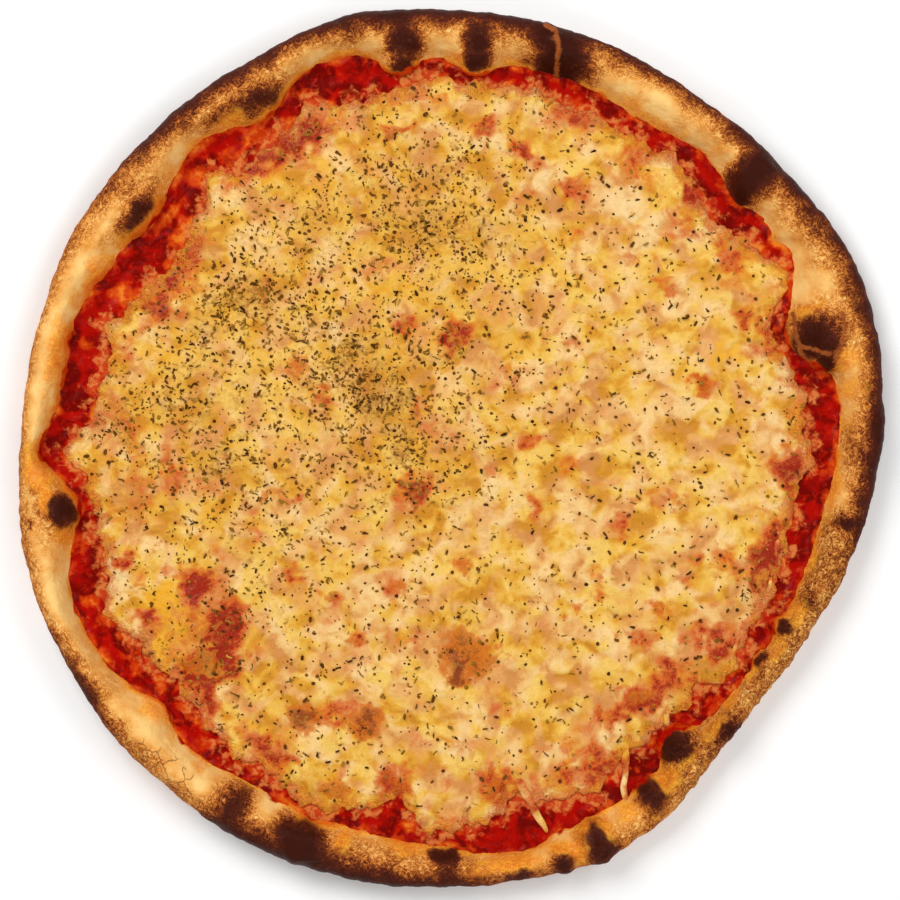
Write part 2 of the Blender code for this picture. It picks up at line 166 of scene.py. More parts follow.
BROWNED = (
    (86.4, 150.5, 6.5, 11, 0.8), (96.8, 151, 8, 10, 0.75), (118.5, 146.5, 12, 8.5, 0.9),
    (125, 150.5, 9, 4, 0.8), (140, 155, 9, 6, 0.6), (142.5, 145, 11.5, 6, 0.9),
    (188.6, 146.5, 9.5, 8, 0.95), (185.3, 155, 3.2, 2.6, 0.75), (42, 150, 9, 13, 0.75),
    (48, 154, 5, 6, 0.35), (75, 150, 12.5, 14, 0.9), (214, 161, 14, 6, 0.6), (227, 160.5, 11, 4.5, 0.45),
    (238.3, 155, 8, 10, 0.75), (249, 155.5, 12.5, 10, 0.9), (262, 155, 15, 8, 0.6),
    (269, 153, 7.5, 9, 0.8), (16.8, 143, 14, 14, 0.6), (33.2, 139, 4, 4, 0.7), (33, 151, 12, 5, 0.35),
    (349.3, 149.5, 6, 8, 0.7), (325, 143, 30, 5, 0.55), (309, 147, 14, 5, 0.45), (340, 146, 14, 5, 0.4),
    (332, 138.4, 4.5, 3.5, 0.8), (325.8, 138.4, 4.5, 3.2, 0.8), (107, 159.5, 12, 3, 0.4),
    (307.2, 136.8, 9, 8, 0.55), (299.9, 147.5, 7.5, 8.5, 0.55), (290.3, 154.9, 7.5, 9, 0.5),
    (314.4, 145.6, 6.5, 5, 0.55), (0, 148.5, 9, 3.5, 0.45), (86, 146.5, 14, 3, 0.3),
    (192, 150, 7, 8, 0.3), (4, 151, 5, 6, 0.3), (254.6, 152, 3, 2.4, 0.8),
)
OILY = (
    (57, 140.8, 13, 3.6, 1), (62.5, 143, 5, 3, 0.9), (34, 141, 4, 2.5, 0.7), (48.5, 147, 4, 3, 0.4),
    (89.5, 144.6, 5, 2.4, 0.9), (80.5, 143.6, 6.5, 2.4, 0.9), (103.6, 149.6, 5.5, 2.2, 1),
    (112.5, 147.5, 7, 2.6, 0.7), (131, 147, 5, 2, 0.8), (137.3, 142.5, 4, 4.5, 1),
    (135, 145.5, 4, 2, 0.8), (124.3, 145, 6.5, 4.5, 0.9), (146.5, 140.5, 11, 1.8, 0.9),
    (153.2, 146, 6, 5.2, 1), (158.5, 149.5, 5, 2, 0.7), (166.5, 149.5, 15, 4.6, 1),
    (175.5, 149, 6, 3, 0.7), (184.5, 151.5, 5.5, 4.2, 1), (183, 146.5, 3.5, 3.2, 0.8),
    (192.8, 146.6, 5.5, 4, 0.9), (221.5, 146, 7, 4.2, 1), (213.5, 146.2, 3.2, 2.2, 1),
    (231.5, 150, 3.5, 3, 0.8), (225.5, 149, 4, 2, 0.6), (254.2, 149.6, 3.4, 4.8, 1),
    (263.5, 147.6, 7.5, 3.6, 1), (278, 154.2, 12.5, 3.8, 1), (273.5, 156.5, 6, 3, 0.8),
    (287.4, 155.5, 3.6, 6.5, 1), (285, 152.8, 5, 2.6, 1), (290.3, 150, 7.6, 6, 1), (296, 149, 6, 4, 0.8),
    (303.2, 145.2, 5, 4.6, 1), (300, 155, 5, 3, 0.6), (313, 140.6, 6.5, 3.2, 0.8),
    (318, 138.6, 5, 3, 0.9), (323.5, 138.6, 4, 2.2, 0.7), (328.6, 140.6, 5, 2.8, 0.9),
    (334.5, 141, 5, 2.6, 0.8), (343, 138.2, 10, 3.2, 1), (347.5, 139.2, 4, 2, 0.7),
    (354.5, 141.5, 10, 2.6, 1), (0, 142, 6, 2.6, 0.8), (5, 144, 6, 3.2, 0.7), (8.5, 147, 5, 7, 0.6),
    (12.8, 149.5, 5, 6, 0.8), (15.5, 133, 9, 3.4, 0.9), (21.4, 141, 2.4, 8.5, 0.6),
    (182.6, 152.6, 7.5, 6, 1.1), (187, 150.5, 6, 3, 1), (71, 143.5, 4, 2, 0.6),
    (307.5, 143.5, 7, 2.2, 0.7), (208, 152.5, 6, 2, 0.5),
)

# Where the dough has fine cracks, in rows like those of its marks
CRACKED = ((228.5, 158, 15, 6, 1), (187, 160, 16, 2.6, 0.8))

# Angles between which the rim is brown and finely folded: start, full, full, end
LEATHERY_BAND = (296.0, 306.0, 346.0, 356.0)

# Raised strands on the dough: points as angle and distance, half width
SEAMS = (
    (((77.6, 160.2), (76.1, 159.3), (75.3, 154), (74.8, 148), (74.3, 143), (74.5, 137)), 1.5),
    (((19, 152.6), (16.6, 151), (14.6, 147.6), (12.6, 144.6)), 1.4),
    (((13.9, 145.8), (14.4, 142), (15.6, 138.2), (16.6, 133.6)), 1.1),
    (((21.8, 136), (19, 134.4), (15.6, 134.2), (12.4, 137), (10.6, 140.5)), 1.3),
)

# Patches of the sauce that oil has turned orange: angle, distance, half length, half width, strength
ORANGE_SAUCE = (
    (27.5, 139, 7, 4.5, 0.75), (70, 135.5, 7, 3, 0.5), (64, 139, 5, 2, 0.5), (113, 142.5, 5, 4, 0.7),
    (117.5, 133, 9, 5, 0.9), (122, 137.5, 7, 4, 0.8), (127, 134, 5, 5, 0.8), (140.5, 136, 9, 2.2, 0.8),
    (141, 128, 9, 4, 0.85), (145, 123.5, 9, 4, 0.85), (155, 132, 4.5, 9, 0.9), (152.5, 124.5, 8, 5, 0.9),
    (164, 141, 2.5, 3.5, 0.7), (168.8, 142.5, 2.2, 2, 0.6), (171.5, 134, 5, 4, 0.5),
    (194, 141.5, 4, 4, 0.6), (202.4, 145.5, 2.8, 4.6, 0.8), (206.3, 143, 3.4, 5, 0.8),
    (214, 143, 8, 2.6, 0.6), (231, 142, 6, 3, 0.5), (242, 140, 6, 3, 0.4), (263.6, 141, 3.4, 2.6, 0.95),
    (268, 139.2, 9, 2.4, 0.6), (316, 134, 5, 2, 0.5), (11, 138, 3, 5, 0.6), (357, 137.5, 5, 3, 0.5),
    (90, 138, 6, 2, 0.5), (210, 139.5, 8, 3.6, 0.9), (218.5, 138.5, 6, 3.6, 0.85),
    (225.5, 138, 8, 3, 0.8), (237, 140.5, 8, 2.6, 0.7), (132, 139, 7, 4, 0.8), (249, 141, 6, 2.6, 0.6),
    (20, 129.5, 8, 2.4, 0.7), (335, 133.5, 6, 2.4, 0.6), (300, 136, 6, 2.4, 0.6),
)

# Where the sauce shows through the cheese: place, half length, half width, turn and strength
STAINED = (
    (-18.5, 45, 4, 3.2, 20, 0.95), (-49, 19, 4, 3, 60, 0.85), (-13, 15, 5, 3.4, 60, 0.9),
    (1.5, 41, 6.6, 5, 60, 1.2), (-19.5, 118.5, 7.5, 2, 5, 0.8), (-69, 60, 5.5, 3, 40, 0.7),
    (11, 119.5, 4.5, 3.2, 0, 0.65), (27, 110, 5.5, 3.6, 140, 0.7), (26, 93, 4, 5, 20, 0.6),
    (44, 96, 8, 4, 45, 0.7), (46, 79, 6, 5, 0, 0.45), (79, 61, 5.5, 3.6, 150, 0.75),
    (70, 69.5, 6, 3, 170, 0.5), (88.5, 94, 3.4, 3, 0, 1.1), (109, 49, 4.6, 3.4, 70, 0.8),
    (102, 72, 5.5, 3.8, 140, 0.55), (93, 23, 4.6, 3.4, 20, 0.9), (20, 26, 7, 4, 30, 0.45),
    (29, 2.5, 3.6, 4.4, 0, 0.7), (42, 40.5, 6, 4, 0, 0.35), (46, 123.5, 8, 3.6, 160, 0.6),
    (-122, -42, 5, 2.8, 10, 0.85), (-86, -66, 10, 18, 10, 0.65), (-94, -51, 6.5, 7, 30, 1.2),
    (-84, -64.5, 6.5, 11, 0, 1.2), (-86, -78, 9, 5.5, 0, 1.2), (-95, -84, 9, 4.5, 10, 1.1),
    (119, 42, 5, 6, 70, 0.6), (118, -40, 6, 12, -25, 0.8), (96, -42, 9, 5, 10, 0.55),
    (98, -71, 6, 4, 50, 0.6), (88, -67, 6, 4, 0, 0.6), (70, -70, 8, 4, 0, 0.5), (75, -87, 7, 5, 20, 0.65),
    (-15, -70, 9, 5, 20, 0.5), (-43, -97, 10, 6, 0, 0.55), (-72, 108, 10, 4.5, 30, 0.95),
    (-52, 118, 8, 4, 20, 0.8), (-99, 14, 8, 5, 20, 0.5), (-118, 10, 5, 8, 0, 0.45),
    (-86, -8, 8, 5, 0, 0.5), (-104, -8, 4, 8, 10, 0.6), (-60, 30, 8, 5, 30, 0.35),
    (-30, 66, 9, 5, 20, 0.35), (-28, 26, 6, 4, 30, 0.5), (-10, 6, 7, 6, 0, 0.45),
    (-113, -62.5, 3.6, 3, 0, 0.8), (-101, -46.5, 5, 3.5, 0, 0.8), (-117, -16, 5, 8, 0, 0.5),
    (-58, -46, 3.6, 4.6, 20, 0.6), (-14.5, -15.5, 5, 7, -20, 1.3), (-18.5, -21.5, 4, 3, 0, 0.7),
    (-43, -55.5, 5, 3.4, 160, 0.55), (-35.5, -70.5, 3.6, 2.6, 0, 0.75), (-21, -53, 6, 5, 0, 0.5),
    (-72, -30, 4, 6, 10, 0.5), (-62, -18, 9, 3, 5, 0.55), (-90.5, -88, 7, 4, 130, 0.75),
    (63, -28, 5, 4, 10, 0.65), (54.5, -49, 3, 8.5, -5, 0.65), (43, -4.5, 4.4, 4, 0, 0.7),
    (32, -22.5, 3.6, 5, 20, 0.65), (12, -12, 4, 6, -20, 0.45), (71.5, -18.5, 4.6, 3.6, 0, 0.55),
    (84, -21, 5, 4, 0, 0.5), (79, -59, 4.6, 5, 30, 0.7), (87, -48, 3.4, 4, 0, 0.6),
    (3, -43, 5, 3.6, 0, 0.5), (45, -59, 2.6, 2.6, 0, 0.8), (20, -96, 6, 4.6, 0, 0.5),
    (69, -93, 6.4, 4, 15, 1), (61, -99, 5.4, 4, 0, 0.9), (50, -119, 12, 6, 15, 0.6),
    (16, -124.5, 5, 5.6, 0, 0.8), (81, -82, 7, 3, -35, 0.65), (100, -75, 5.5, 3, 60, 0.8),
    (126.5, -8, 6, 8, 0, 0.65), (110.5, -43, 5, 8, -25, 0.6), (114, -49, 3.4, 6, -25, 0.9),
    (-22, -124.5, 5.6, 5, 0, 0.75), (-89, -96, 6, 4, 120, 0.55), (-8, 98, 9, 5, 20, 0.4),
    (-36.5, 94, 6, 5, 0, 0.35), (-63, 87.5, 6, 5, 0, 0.4), (-106, 55, 8, 6, 30, 0.7),
    (-96, 73, 9, 5, 60, 0.7), (-62, 112, 12, 4, 30, 0.95), (-104, 62, 6, 4, 0, 0.8),
    (70, 104, 7, 4, 140, 0.4), (84, 84, 5, 4, 140, 0.5), (-68, -112, 9, 3.6, 150, 0.6),
    (36, 70, 5, 5, 0, 0.3), (113, 20, 4, 5, 0, 0.25), (-30, -88, 6, 4, 0, 0.3),
)

# Toasted spots, butter-yellow parts, and milky parts that also carry painted highlights, in rows like the
# last
TOASTED = (
    (5.5, -76, 11, 8.5, 150, 1.1), (3.5, -82, 5, 4, 120, 1.4), (17, -74, 4.5, 3.5, 0, 0.7),
    (-55, -99, 6.4, 5, 140, 1.25), (-32, -101.5, 6.4, 6, 0, 1.3), (-98, -67, 15, 17, 0, 0.4),
    (-92, -80, 9, 4, 10, 0.9), (-43, -127, 8.5, 5.5, 0, 0.7), (-22, -124.5, 5, 4.5, 0, 0.6),
    (93, 23, 5, 3.6, 20, 0.7), (109, 49, 4, 3, 0, 0.7), (79, 61, 5, 3.6, 0, 0.5),
    (79, -59, 4.6, 5, 30, 0.7), (69, -93, 5, 3, 15, 0.8), (16, -124.5, 4.6, 5, 0, 0.6),
    (1.5, 41, 5, 4, 60, 0.6), (-8, 98, 9, 5, 20, 0.35), (84, -21, 5, 4, 0, 0.4),
    (-21, -53, 5, 5, 0, 0.45), (3, -43, 5, 3.6, 0, 0.45),
)
BUTTERY = (
    (-68, 104, 13, 8, 20, 0.95), (-52, 96, 9, 7, 0, 0.7), (100, 34.5, 9, 4, 0, 0.9),
    (-73.5, -102.5, 7, 5, 0, 0.9), (-43, -127, 9, 6, 0, 0.9), (66.5, -36, 5, 4, 0, 0.7),
    (-108, -58, 8.5, 6.5, 0, 1.5), (-107, -75, 6, 7, 0, 1.3), (-98, -69, 8, 9, 0, 1.1),
    (-10, 60, 42, 30, 20, 0.4), (-100, 36, 24, 16, 30, 0.35), (10, 85, 24, 20, 0, 0.4),
    (22, 44, 26, 9, 20, 0.5), (30, -100, 12, 8, 0, 0.4), (-90, -26, 8, 5, 0, 0.5), (-12, 3, 7, 5, 0, 0.7),
    (-100, 66, 10, 6, 40, 0.6), (88, 66, 7, 5, 0, 0.5),
)
MILKY_AND_HIGHLIGHT = (
    (-42, 43, 5, 3.6, 60, 1), (-86, 97, 3, 8, -20, 1), (32, 98, 5, 12, 20, 0.7),
    (14, -20, 8, 14, 10, 0.6), (14, 112, 8, 6, 0, 0.6), (65, 90, 14, 9, 130, 0.8), (88, 78, 6, 6, 0, 0.5),
    (118, 28, 10, 10, 0, 0.5), (-68, -12, 5, 12, 20, 0.7), (-28, -66, 10, 6, 0, 0.5),
    (-124, -48, 5, 12, 30, 0.9), (-52, -22, 12, 6, 0, 0.5), (40, -80, 12, 6, 60, 0.45),
    (60, -108, 8, 5, 0, 0.5), (-95, -32, 10, 5, 0, 0.5), (118, 6, 7, 9, 0, 0.6),
    (-4, -112, 10, 5, 0, 0.4), (4, -105, 4, 10, 0, 0.4),
)

# Strings of melted cheese over the sauce: start, middle and end, half width
CHEESE_STRINGS = (
    ((66, -104), (62.5, -119), (65.2, -131), 1.2),
    ((24.5, -122), (29.5, -134), (36, -142), 1.3),
    ((121.5, -18), (122, -38), (117, -53.5), 1),
    ((109.5, -60), (106.5, -72), (100, -84), 1),
    ((91, -68), (92, -80), (92.5, -87), 1.1),
    ((78, -90), (80, -97), (80.5, -104), 1),
)

# The view: the middle of the picture, the length that its side shows and the level it has that at
VIEW_MIDDLE = (-0.74, -0.37)
VIEW_SIDE = 333.0
VIEW_LEVEL = 12.0
CAMERA_HEIGHT = 1500.0
SENSOR_SIDE = 36.0

# Half the side of the floor, in metres
FLOOR_HALF = 3.0

# Light: the strength of the room's own, then each lamp's place in metres, power and side
ROOM_LIGHT = 0.26
LIGHTS = (
    ("window_light", (-0.75, 0.85, 1.25), 20.0, 1.0),
    ("right_light", (1.0, 0.3, 1.1), 8.0, 1.0),
    ("front_light", (0.1, -1.1, 1.1), 7.5, 1.0),
)

# Relief: the length over which it changes, its height and the seed of its noise
RIM_SWELL = (30.0, 1.5, 1.5)
RIM_LUMPS = (13.0, 0.8, 7.5)
RIM_WOBBLE = (16.0, 0.9, 4.5)
RIM_FINE = ((6.0, 0.4, 11), (2.4, 0.16, 14))
SAUCE_DIPS = (9.0, 0.4, 2.5)
SAUCE_FINE = ((5.0, 0.3, 21), (2.2, 0.1, 24))
CHEESE_LUMPS = ((19.0, 0.75, 3.5), (9.5, 0.55, 8.5))
CHEESE_FINE = ((5.0, 0.4, 31), (2.4, 0.1, 34))

# The browned dome of the cheese: its place, radius and height
CHEESE_DOME = ((-99.0, -68.0), 19.0, 1.8)

# Where the crest starts to be pressed down, and the most that it can rise above that
CREST_SOFT = 17.6
CREST_ROOM = 2.2

# The larger herb flakes: how many, their lengths, the room between them and to the edge, their lean
FLAKE_COUNT = 130
FLAKE_LONG = (2.0, 3.4)
FLAKE_CLEAR = 4.2
FLAKE_MARGIN = 5.0
FLAKE_TILT = 0.2

# Drifts of the larger flakes, then of the small herbs: middle, spread and weight. Some lie everywhere
HERB_DRIFTS = (
    ((-23, 22), 24, 1), ((-18, 80), 42, 0.75), ((-68, 52), 42, 0.7), ((-98, 0), 36, 0.45),
    ((20, 55), 45, 0.4),
)
HERB_EVERYWHERE = 0.12
FINE_HERB_DRIFTS = (
    ((-30, 22), 17, 0.6), ((-10, 88), 22, 0.45), ((-74, 56), 20, 0.42), ((-45, 60), 50, 0.26),
    ((-110, 12), 18, 0.36), ((-86, -6), 16, 0.24), ((-60, 20), 60, 0.22), ((20, 60), 40, 0.12),
    ((-12, -4), 20, 0.45), ((2, 108), 26, 0.2), ((-70, -40), 34, 0.14), ((-92, -74), 14, 0.18),
    ((112, -54), 8, 0.35), ((0, -66), 14, 0.12), ((-60, -90), 30, 0.1),
)
FINE_HERB_EVERYWHERE = 0.13

# Thick clumps of small herbs: place, half length, half width, turn and strength
HERB_CLUMPS = (
    (-26, 19, 12, 9, -40, 1), (-17, 4, 6, 9, 10, 0.7), (-36, 36, 9, 6, 0, 0.6),
    (-76, 57, 12, 4.6, 10, 0.9), (-6, 99, 8, 4, 10, 0.7), (-9, 81, 14, 7, 15, 0.6),
    (-22, 88, 6, 7, 0, 0.5), (-118, -20, 5, 7, 0, 0.5), (-86, -7, 8, 6, 0, 0.5), (-52, 84, 8, 5, 0, 0.3),
    (-92, 44, 8, 5, 20, 0.4), (12, 78, 9, 6, 0, 0.3), (-120, 12, 7, 10, 0, 0.25),
    (-98, 14, 10, 8, 0, 0.3),
)

# Herbs: the seed of their draws, draws made for each one wanted, height that they are dropped from
SEED = 20
TRIES = 12
DROP_HEIGHT = 60.0

# Side of the lattice of directions that quick noise is drawn from
LATTICE = 512


def smooth_between(a, b, c, d, share):
    """The point at a share from b to c on the smooth curve through four points."""
    square = share**2
    cube = share**3
    place = (2 * cube - 3 * square + 1) * b + (3 * square - 2 * cube) * c
    return place + ((cube - 2 * square + share) * (c - a) + (cube - square) * (d - b)) / 2


def outline(values, angles, bulges=()):
    """A smooth closed outline through knots spread evenly round a turn, with its bulges."""
    knots = np.asarray(values, float)
    place = (angles / math.tau % 1.0) * len(knots)
    first = np.floor(place).astype(int)
    share = place - first
    reach = smooth_between(*(knots[(first + step) % len(knots)] for step in (-1, 0, 1, 2)), share)
    for middle_deg, half_deg, outwards in bulges:
        away = (np.degrees(angles) - middle_deg + 180.0) % 360.0 - 180.0
        reach = reach + outwards * np.exp(-((away / half_deg) ** 2))
    return reach


def rim_foot(angles):
    """Where the rim meets the sauce."""
    return outline(RIM_FOOT, angles, FOOT_BULGES)


def smooth_step(low, high, value):
    share = np.clip((value - low) / (high - low), 0.0, 1.0)
    return share * share * (3 - 2 * share)


def ripple(x, y, relief):
    """Smooth noise over the table plane, from a length, a height and a seed."""
    length, height, seed = relief
    places = zip((x / length).tolist(), (y / length).tolist())
    return height * np.array([noise.noise(Vector((a, b, seed))) for a, b in places])


def outline_middle():
    """Middle of the outline's box, which is where the frame has its origin."""
    angles = np.radians(np.arange(360.0))
    reach = outline(RIM_REACH, angles)
    xs = reach * np.cos(angles)
    ys = reach * np.sin(angles)
    return Vector(((xs.min() + xs.max()) / 2, (ys.min() + ys.max()) / 2, 0.0))


MIDDLE = outline_middle()


def polar(points):
    return np.hypot(points[:, 0], points[:, 1]), np.arctan2(points[:, 1], points[:, 0])


def on_plane(radius, angle):
    return radius * np.cos(angle), radius * np.sin(angle)


def crumble(x, y, length, seed):
    """Quick noise for all points at once, about -1 to 1, whose lumps are as long as the length."""
    turns = np.random.default_rng(seed).uniform(0.0, math.tau, (LATTICE, LATTICE))
    column = np.floor(x / length).astype(int)
    row = np.floor(y / length).astype(int)
    right = x / length - column
    up = y / length - row
    share_right = smooth_step(0.0, 1.0, right)
    share_up = smooth_step(0.0, 1.0, up)
    total = np.zeros_like(x)
    for a, weight_a in ((0, 1.0 - share_right), (1, share_right)):
        for b, weight_b in ((0, 1.0 - share_up), (1, share_up)):
            turn = turns[(column + a) % LATTICE, (row + b) % LATTICE]
            total += weight_a * weight_b * (np.cos(turn) * (right - a) + np.sin(turn) * (up - b))
    return 1.5 * total


def layered(x, y, length, seed, layers=3):
    """Noise with finer noise on it."""
    return sum(crumble(x, y, length / 2**n, seed + n) / 2**n for n in range(layers))


def fine_relief(x, y, rows):
    """Layered noise from rows of a length, a height and a seed."""
    return sum(height * layered(x, y, length, seed) for length, height, seed in rows)


def ragged(x, y, seed, shift, length=6.0):
    """Places shifted a little by noise, so that a round mark gets a ragged edge."""
    across = shift * layered(x + 0.6 * y, y - 0.6 * x, 1.2 * length, seed)
    along = shift * layered(x - 0.4 * y, y + 0.4 * x, 1.1 * length, seed + 10)
    return x + across, y + along


def marks(x, y, rows, soft):
    """How strongly each point is covered by oval marks: place, half sizes, turn and strength."""
    total = np.zeros_like(x)
    for mark_x, mark_y, half_long, half_wide, turn_deg, strength in rows:
        reach = (1.0 + soft) * max(half_long, half_wide)
        near = (np.abs(x - mark_x) < reach) & (np.abs(y - mark_y) < reach)
        turn = math.radians(turn_deg)
        right = x[near] - mark_x
        up = y[near] - mark_y
        along = (right * math.cos(turn) + up * math.sin(turn)) / half_long
        across = (up * math.cos(turn) - right * math.sin(turn)) / half_wide
        cover = strength * (1.0 - smooth_step(1.0 - soft, 1.0 + soft, np.hypot(along, across)))
        total[near] = np.maximum(total[near], cover)
    return total


def rim_marks(x, y, rows, soft):
    """Marks from rows given by angle and distance, with their length along the rim."""
    placed = []
    for angle_deg, distance, half_long, half_wide, strength in rows:
        place = on_plane(distance, math.radians(angle_deg))
        placed.append((*place, half_long, half_wide, angle_deg + 90.0, strength))
    return marks(x, y, placed, soft)


def near_line(x, y, corners, half_width):
    """How near each point is to a line of corners, 1 on the line and 0 beyond its half width."""
    nearest = np.full_like(x, 1e9)
    for (ax, ay), (bx, by) in zip(corners, corners[1:]):
        length = math.hypot(bx - ax, by - ay)
        share = np.clip(((x - ax) * (bx - ax) + (y - ay) * (by - ay)) / length**2, 0.0, 1.0)
        away = np.hypot(x - ax - share * (bx - ax), y - ay - share * (by - ay))
        nearest = np.minimum(nearest, away)
    return np.clip(1.0 - nearest / half_width, 0.0, 1.0)


def colour(red, green, blue):
    """A colour as a screen shows it, each share from 0 to 255, made linear."""
    shares = (value / 255 for value in (red, green, blue))
    return (*(s / 12.92 if s < 0.04045 else ((s + 0.055) / 1.055) ** 2.4 for s in shares), 1.0)


# Shades of the dough from pale to charred, then of the sauce, the cheese and the herbs' oil
GOLDEN_DOUGH = colour(202, 122, 50)
BROWN_DOUGH = colour(146, 72, 26)
DARK_DOUGH = colour(88, 36, 20)
DOUGH_SHADES = (
    (0.0, colour(246, 200, 122)),
    (0.13, colour(230, 160, 78)),
    (0.26, GOLDEN_DOUGH),
    (0.4, BROWN_DOUGH),
    (0.54, DARK_DOUGH),
    (0.8, colour(58, 20, 10)),
)
PALE_SEAM = colour(154, 82, 38)
DEEP_OIL = colour(216, 86, 8)
BRIGHT_OIL = colour(248, 174, 56)
PALE_OIL = colour(228, 128, 34)
RED_SAUCE = colour(166, 8, 0)
DARK_SAUCE = colour(108, 4, 0)
BRIGHT_SAUCE = colour(192, 24, 2)
ORANGE_SAUCE_SHADE = colour(202, 62, 8)
CHEESE_SHADES = (
    (0.2, colour(206, 138, 72)),
    (0.38, colour(221, 160, 88)),
    (0.54, colour(230, 178, 106)),
    (0.78, colour(240, 199, 132)),
)
YELLOW_SHADES = (
    (0.2, colour(200, 132, 32)),
    (0.38, colour(216, 152, 44)),
    (0.54, colour(226, 171, 64)),
    (0.78, colour(236, 192, 94)),
)
BLUSH_CHEESE = colour(224, 158, 92)
# Pale cream of milky cheese, also laid on the cheese's raised lumps as a painted highlight
MILKY_HIGHLIGHT_CHEESE = colour(237, 203, 144)
YELLOW_CHEESE = colour(230, 164, 32)
PINK_CHEESE = colour(210, 122, 60)
AMBER_CHEESE = colour(216, 134, 36)
ORANGE_CHEESE = colour(202, 84, 26)
RED_CHEESE = colour(152, 30, 8)
TOASTED_CHEESE = colour(200, 100, 18)
BROWN_CHEESE = colour(122, 44, 12)
THIN_CHEESE_RED = colour(192, 62, 24)
HERB_OIL = colour(208, 150, 54)
HERB_BROWN = colour(150, 84, 28)

# What is painted on the cheese and its strings for their finish to read
CHEESE_PAINTS = ("stained", "toasted", "buttery", "milky", "herby", "edge")


class Value:
    """A number that varies over a surface and takes part in Python sums as shader nodes."""

    def __init__(self, finish, socket):
        self.finish = finish
        self.socket = socket

    def maths(self, operation, first, second):
        return self.finish.node("ShaderNodeMath", {"operation": operation}, {0: first, 1: second})

    def __add__(self, other):
        return self.maths("ADD", self, other)

    def __radd__(self, other):
        return self.maths("ADD", other, self)

    def __sub__(self, other):
        return self.maths("SUBTRACT", self, other)

    def __rsub__(self, other):
        return self.maths("SUBTRACT", other, self)

    def __mul__(self, other):
        return self.maths("MULTIPLY", self, other)

    def __rmul__(self, other):
        return self.maths("MULTIPLY", other, self)

    def __abs__(self):
        return self.maths("ABSOLUTE", self, 0.0)

    def step(self, low, high):
        """0 below low, 1 above high and smooth between them."""
        inputs = {"Value": self, "From Min": low, "From Max": high}
        return self.finish.node("ShaderNodeMapRange", {"interpolation_type": "SMOOTHSTEP"}, inputs)


class Finish:
    """One material, its shader and the nodes that feed it."""

    def __init__(self, name, **constants):
        self.material = bpy.data.materials.new(name)
        self.material.use_nodes = True
        self.nodes = self.material.node_tree.nodes
        self.links = self.material.node_tree.links
        self.shader = self.nodes["Principled BSDF"]
        self.coordinates = self.nodes.new("ShaderNodeTexCoord")
        for socket, value in constants.items():
            self.shader.inputs[socket.replace("_", " ")].default_value = value

    def node(self, kind, settings=None, inputs=None, output=0):
        made = self.nodes.new(kind)
        for name, value in (settings or {}).items():
            setattr(made, name, value)
        for socket, value in (inputs or {}).items():
            self.join(value, made.inputs[socket])
        return Value(self, made.outputs[output])

    def join(self, value, socket):
        if isinstance(value, Value):
            self.links.new(value.socket, socket)
        else:
            socket.default_value = value

    def attributes(self, *names):
        """The numbers that were painted on the piece under these names."""
        for name in names:
            yield self.node("ShaderNodeAttribute", {"attribute_name": name}, output=2)

    def place(self, seed):
        """The places on the piece, moved by the seed so that each noise is another."""
        places = Value(self, self.coordinates.outputs["Object"])
        inputs = {"Vector": places, "Location": (seed, 2.0 * seed, 0.5 * seed)}
        return self.node("ShaderNodeMapping", {}, inputs)

    def grain(self, size, seed, detail=2.0, roughness=0.5, distortion=0.0):
        """Noise whose lumps are about as large as the size, in millimetres."""
        inputs = {"Vector": self.place(seed), "Scale": 1.0 / (size * MM)}
        inputs |= {"Detail": detail, "Roughness": roughness, "Distortion": distortion}
        return self.node("ShaderNodeTexNoise", {}, inputs)

    def curls(self, size, seed, thin=9.0):
        """Curly ridges, 1 along their middles, between the lumps of a swirled noise."""
        swirl = self.grain(size, seed, detail=1.0, distortion=2.2)
        return (1 - abs(swirl - 0.5) * thin).step(0.0, 1.0)

    def bent_place(self, seed, size, shift):
        """Places pushed about by noise, to break up straight cell walls."""
        spread = 2.0 * shift * MM
        inputs = {"Vector": self.place(seed), "Scale": 1.0 / (size * MM)}
        bend = self.node("ShaderNodeTexNoise", {}, inputs, 1)
        inputs = {0: bend, 1: (spread, spread, spread), 2: self.place(seed)}
        return self.node("ShaderNodeVectorMath", {"operation": "MULTIPLY_ADD"}, inputs)

    def cells(self, size, seed, feature="F1", place=None):
        inputs = {"Vector": place or self.place(seed), "Scale": 1.0 / (size * MM)}
        return self.node("ShaderNodeTexVoronoi", {"feature": feature}, inputs)

    def blend(self, share, below, above):
        """One colour over another, by a share from 0 to 1."""
        return self.node("ShaderNodeMix", {"data_type": "RGBA"}, {0: share, 6: below, 7: above}, 2)

    def ramp(self, value, stops):
        made = self.node("ShaderNodeValToRGB", {}, {0: value})
        elements = made.socket.node.color_ramp.elements
        while len(elements) < len(stops):
            elements.new(1.0)
        for element, (position, shade) in zip(elements, stops):
            element.position = position
            element.color = shade
        return made

    def finish(self, base, roughness, height=None, depth=0.3):
        """Joins the colour, the roughness and a relief of the given depth in millimetres."""
        self.join(base, self.shader.inputs["Base Color"])
        self.join(roughness, self.shader.inputs["Roughness"])
        if height is not None:
            bump = self.node("ShaderNodeBump", {}, {"Height": height, "Distance": depth * MM})
            self.join(bump, self.shader.inputs["Normal"])
        return self.material


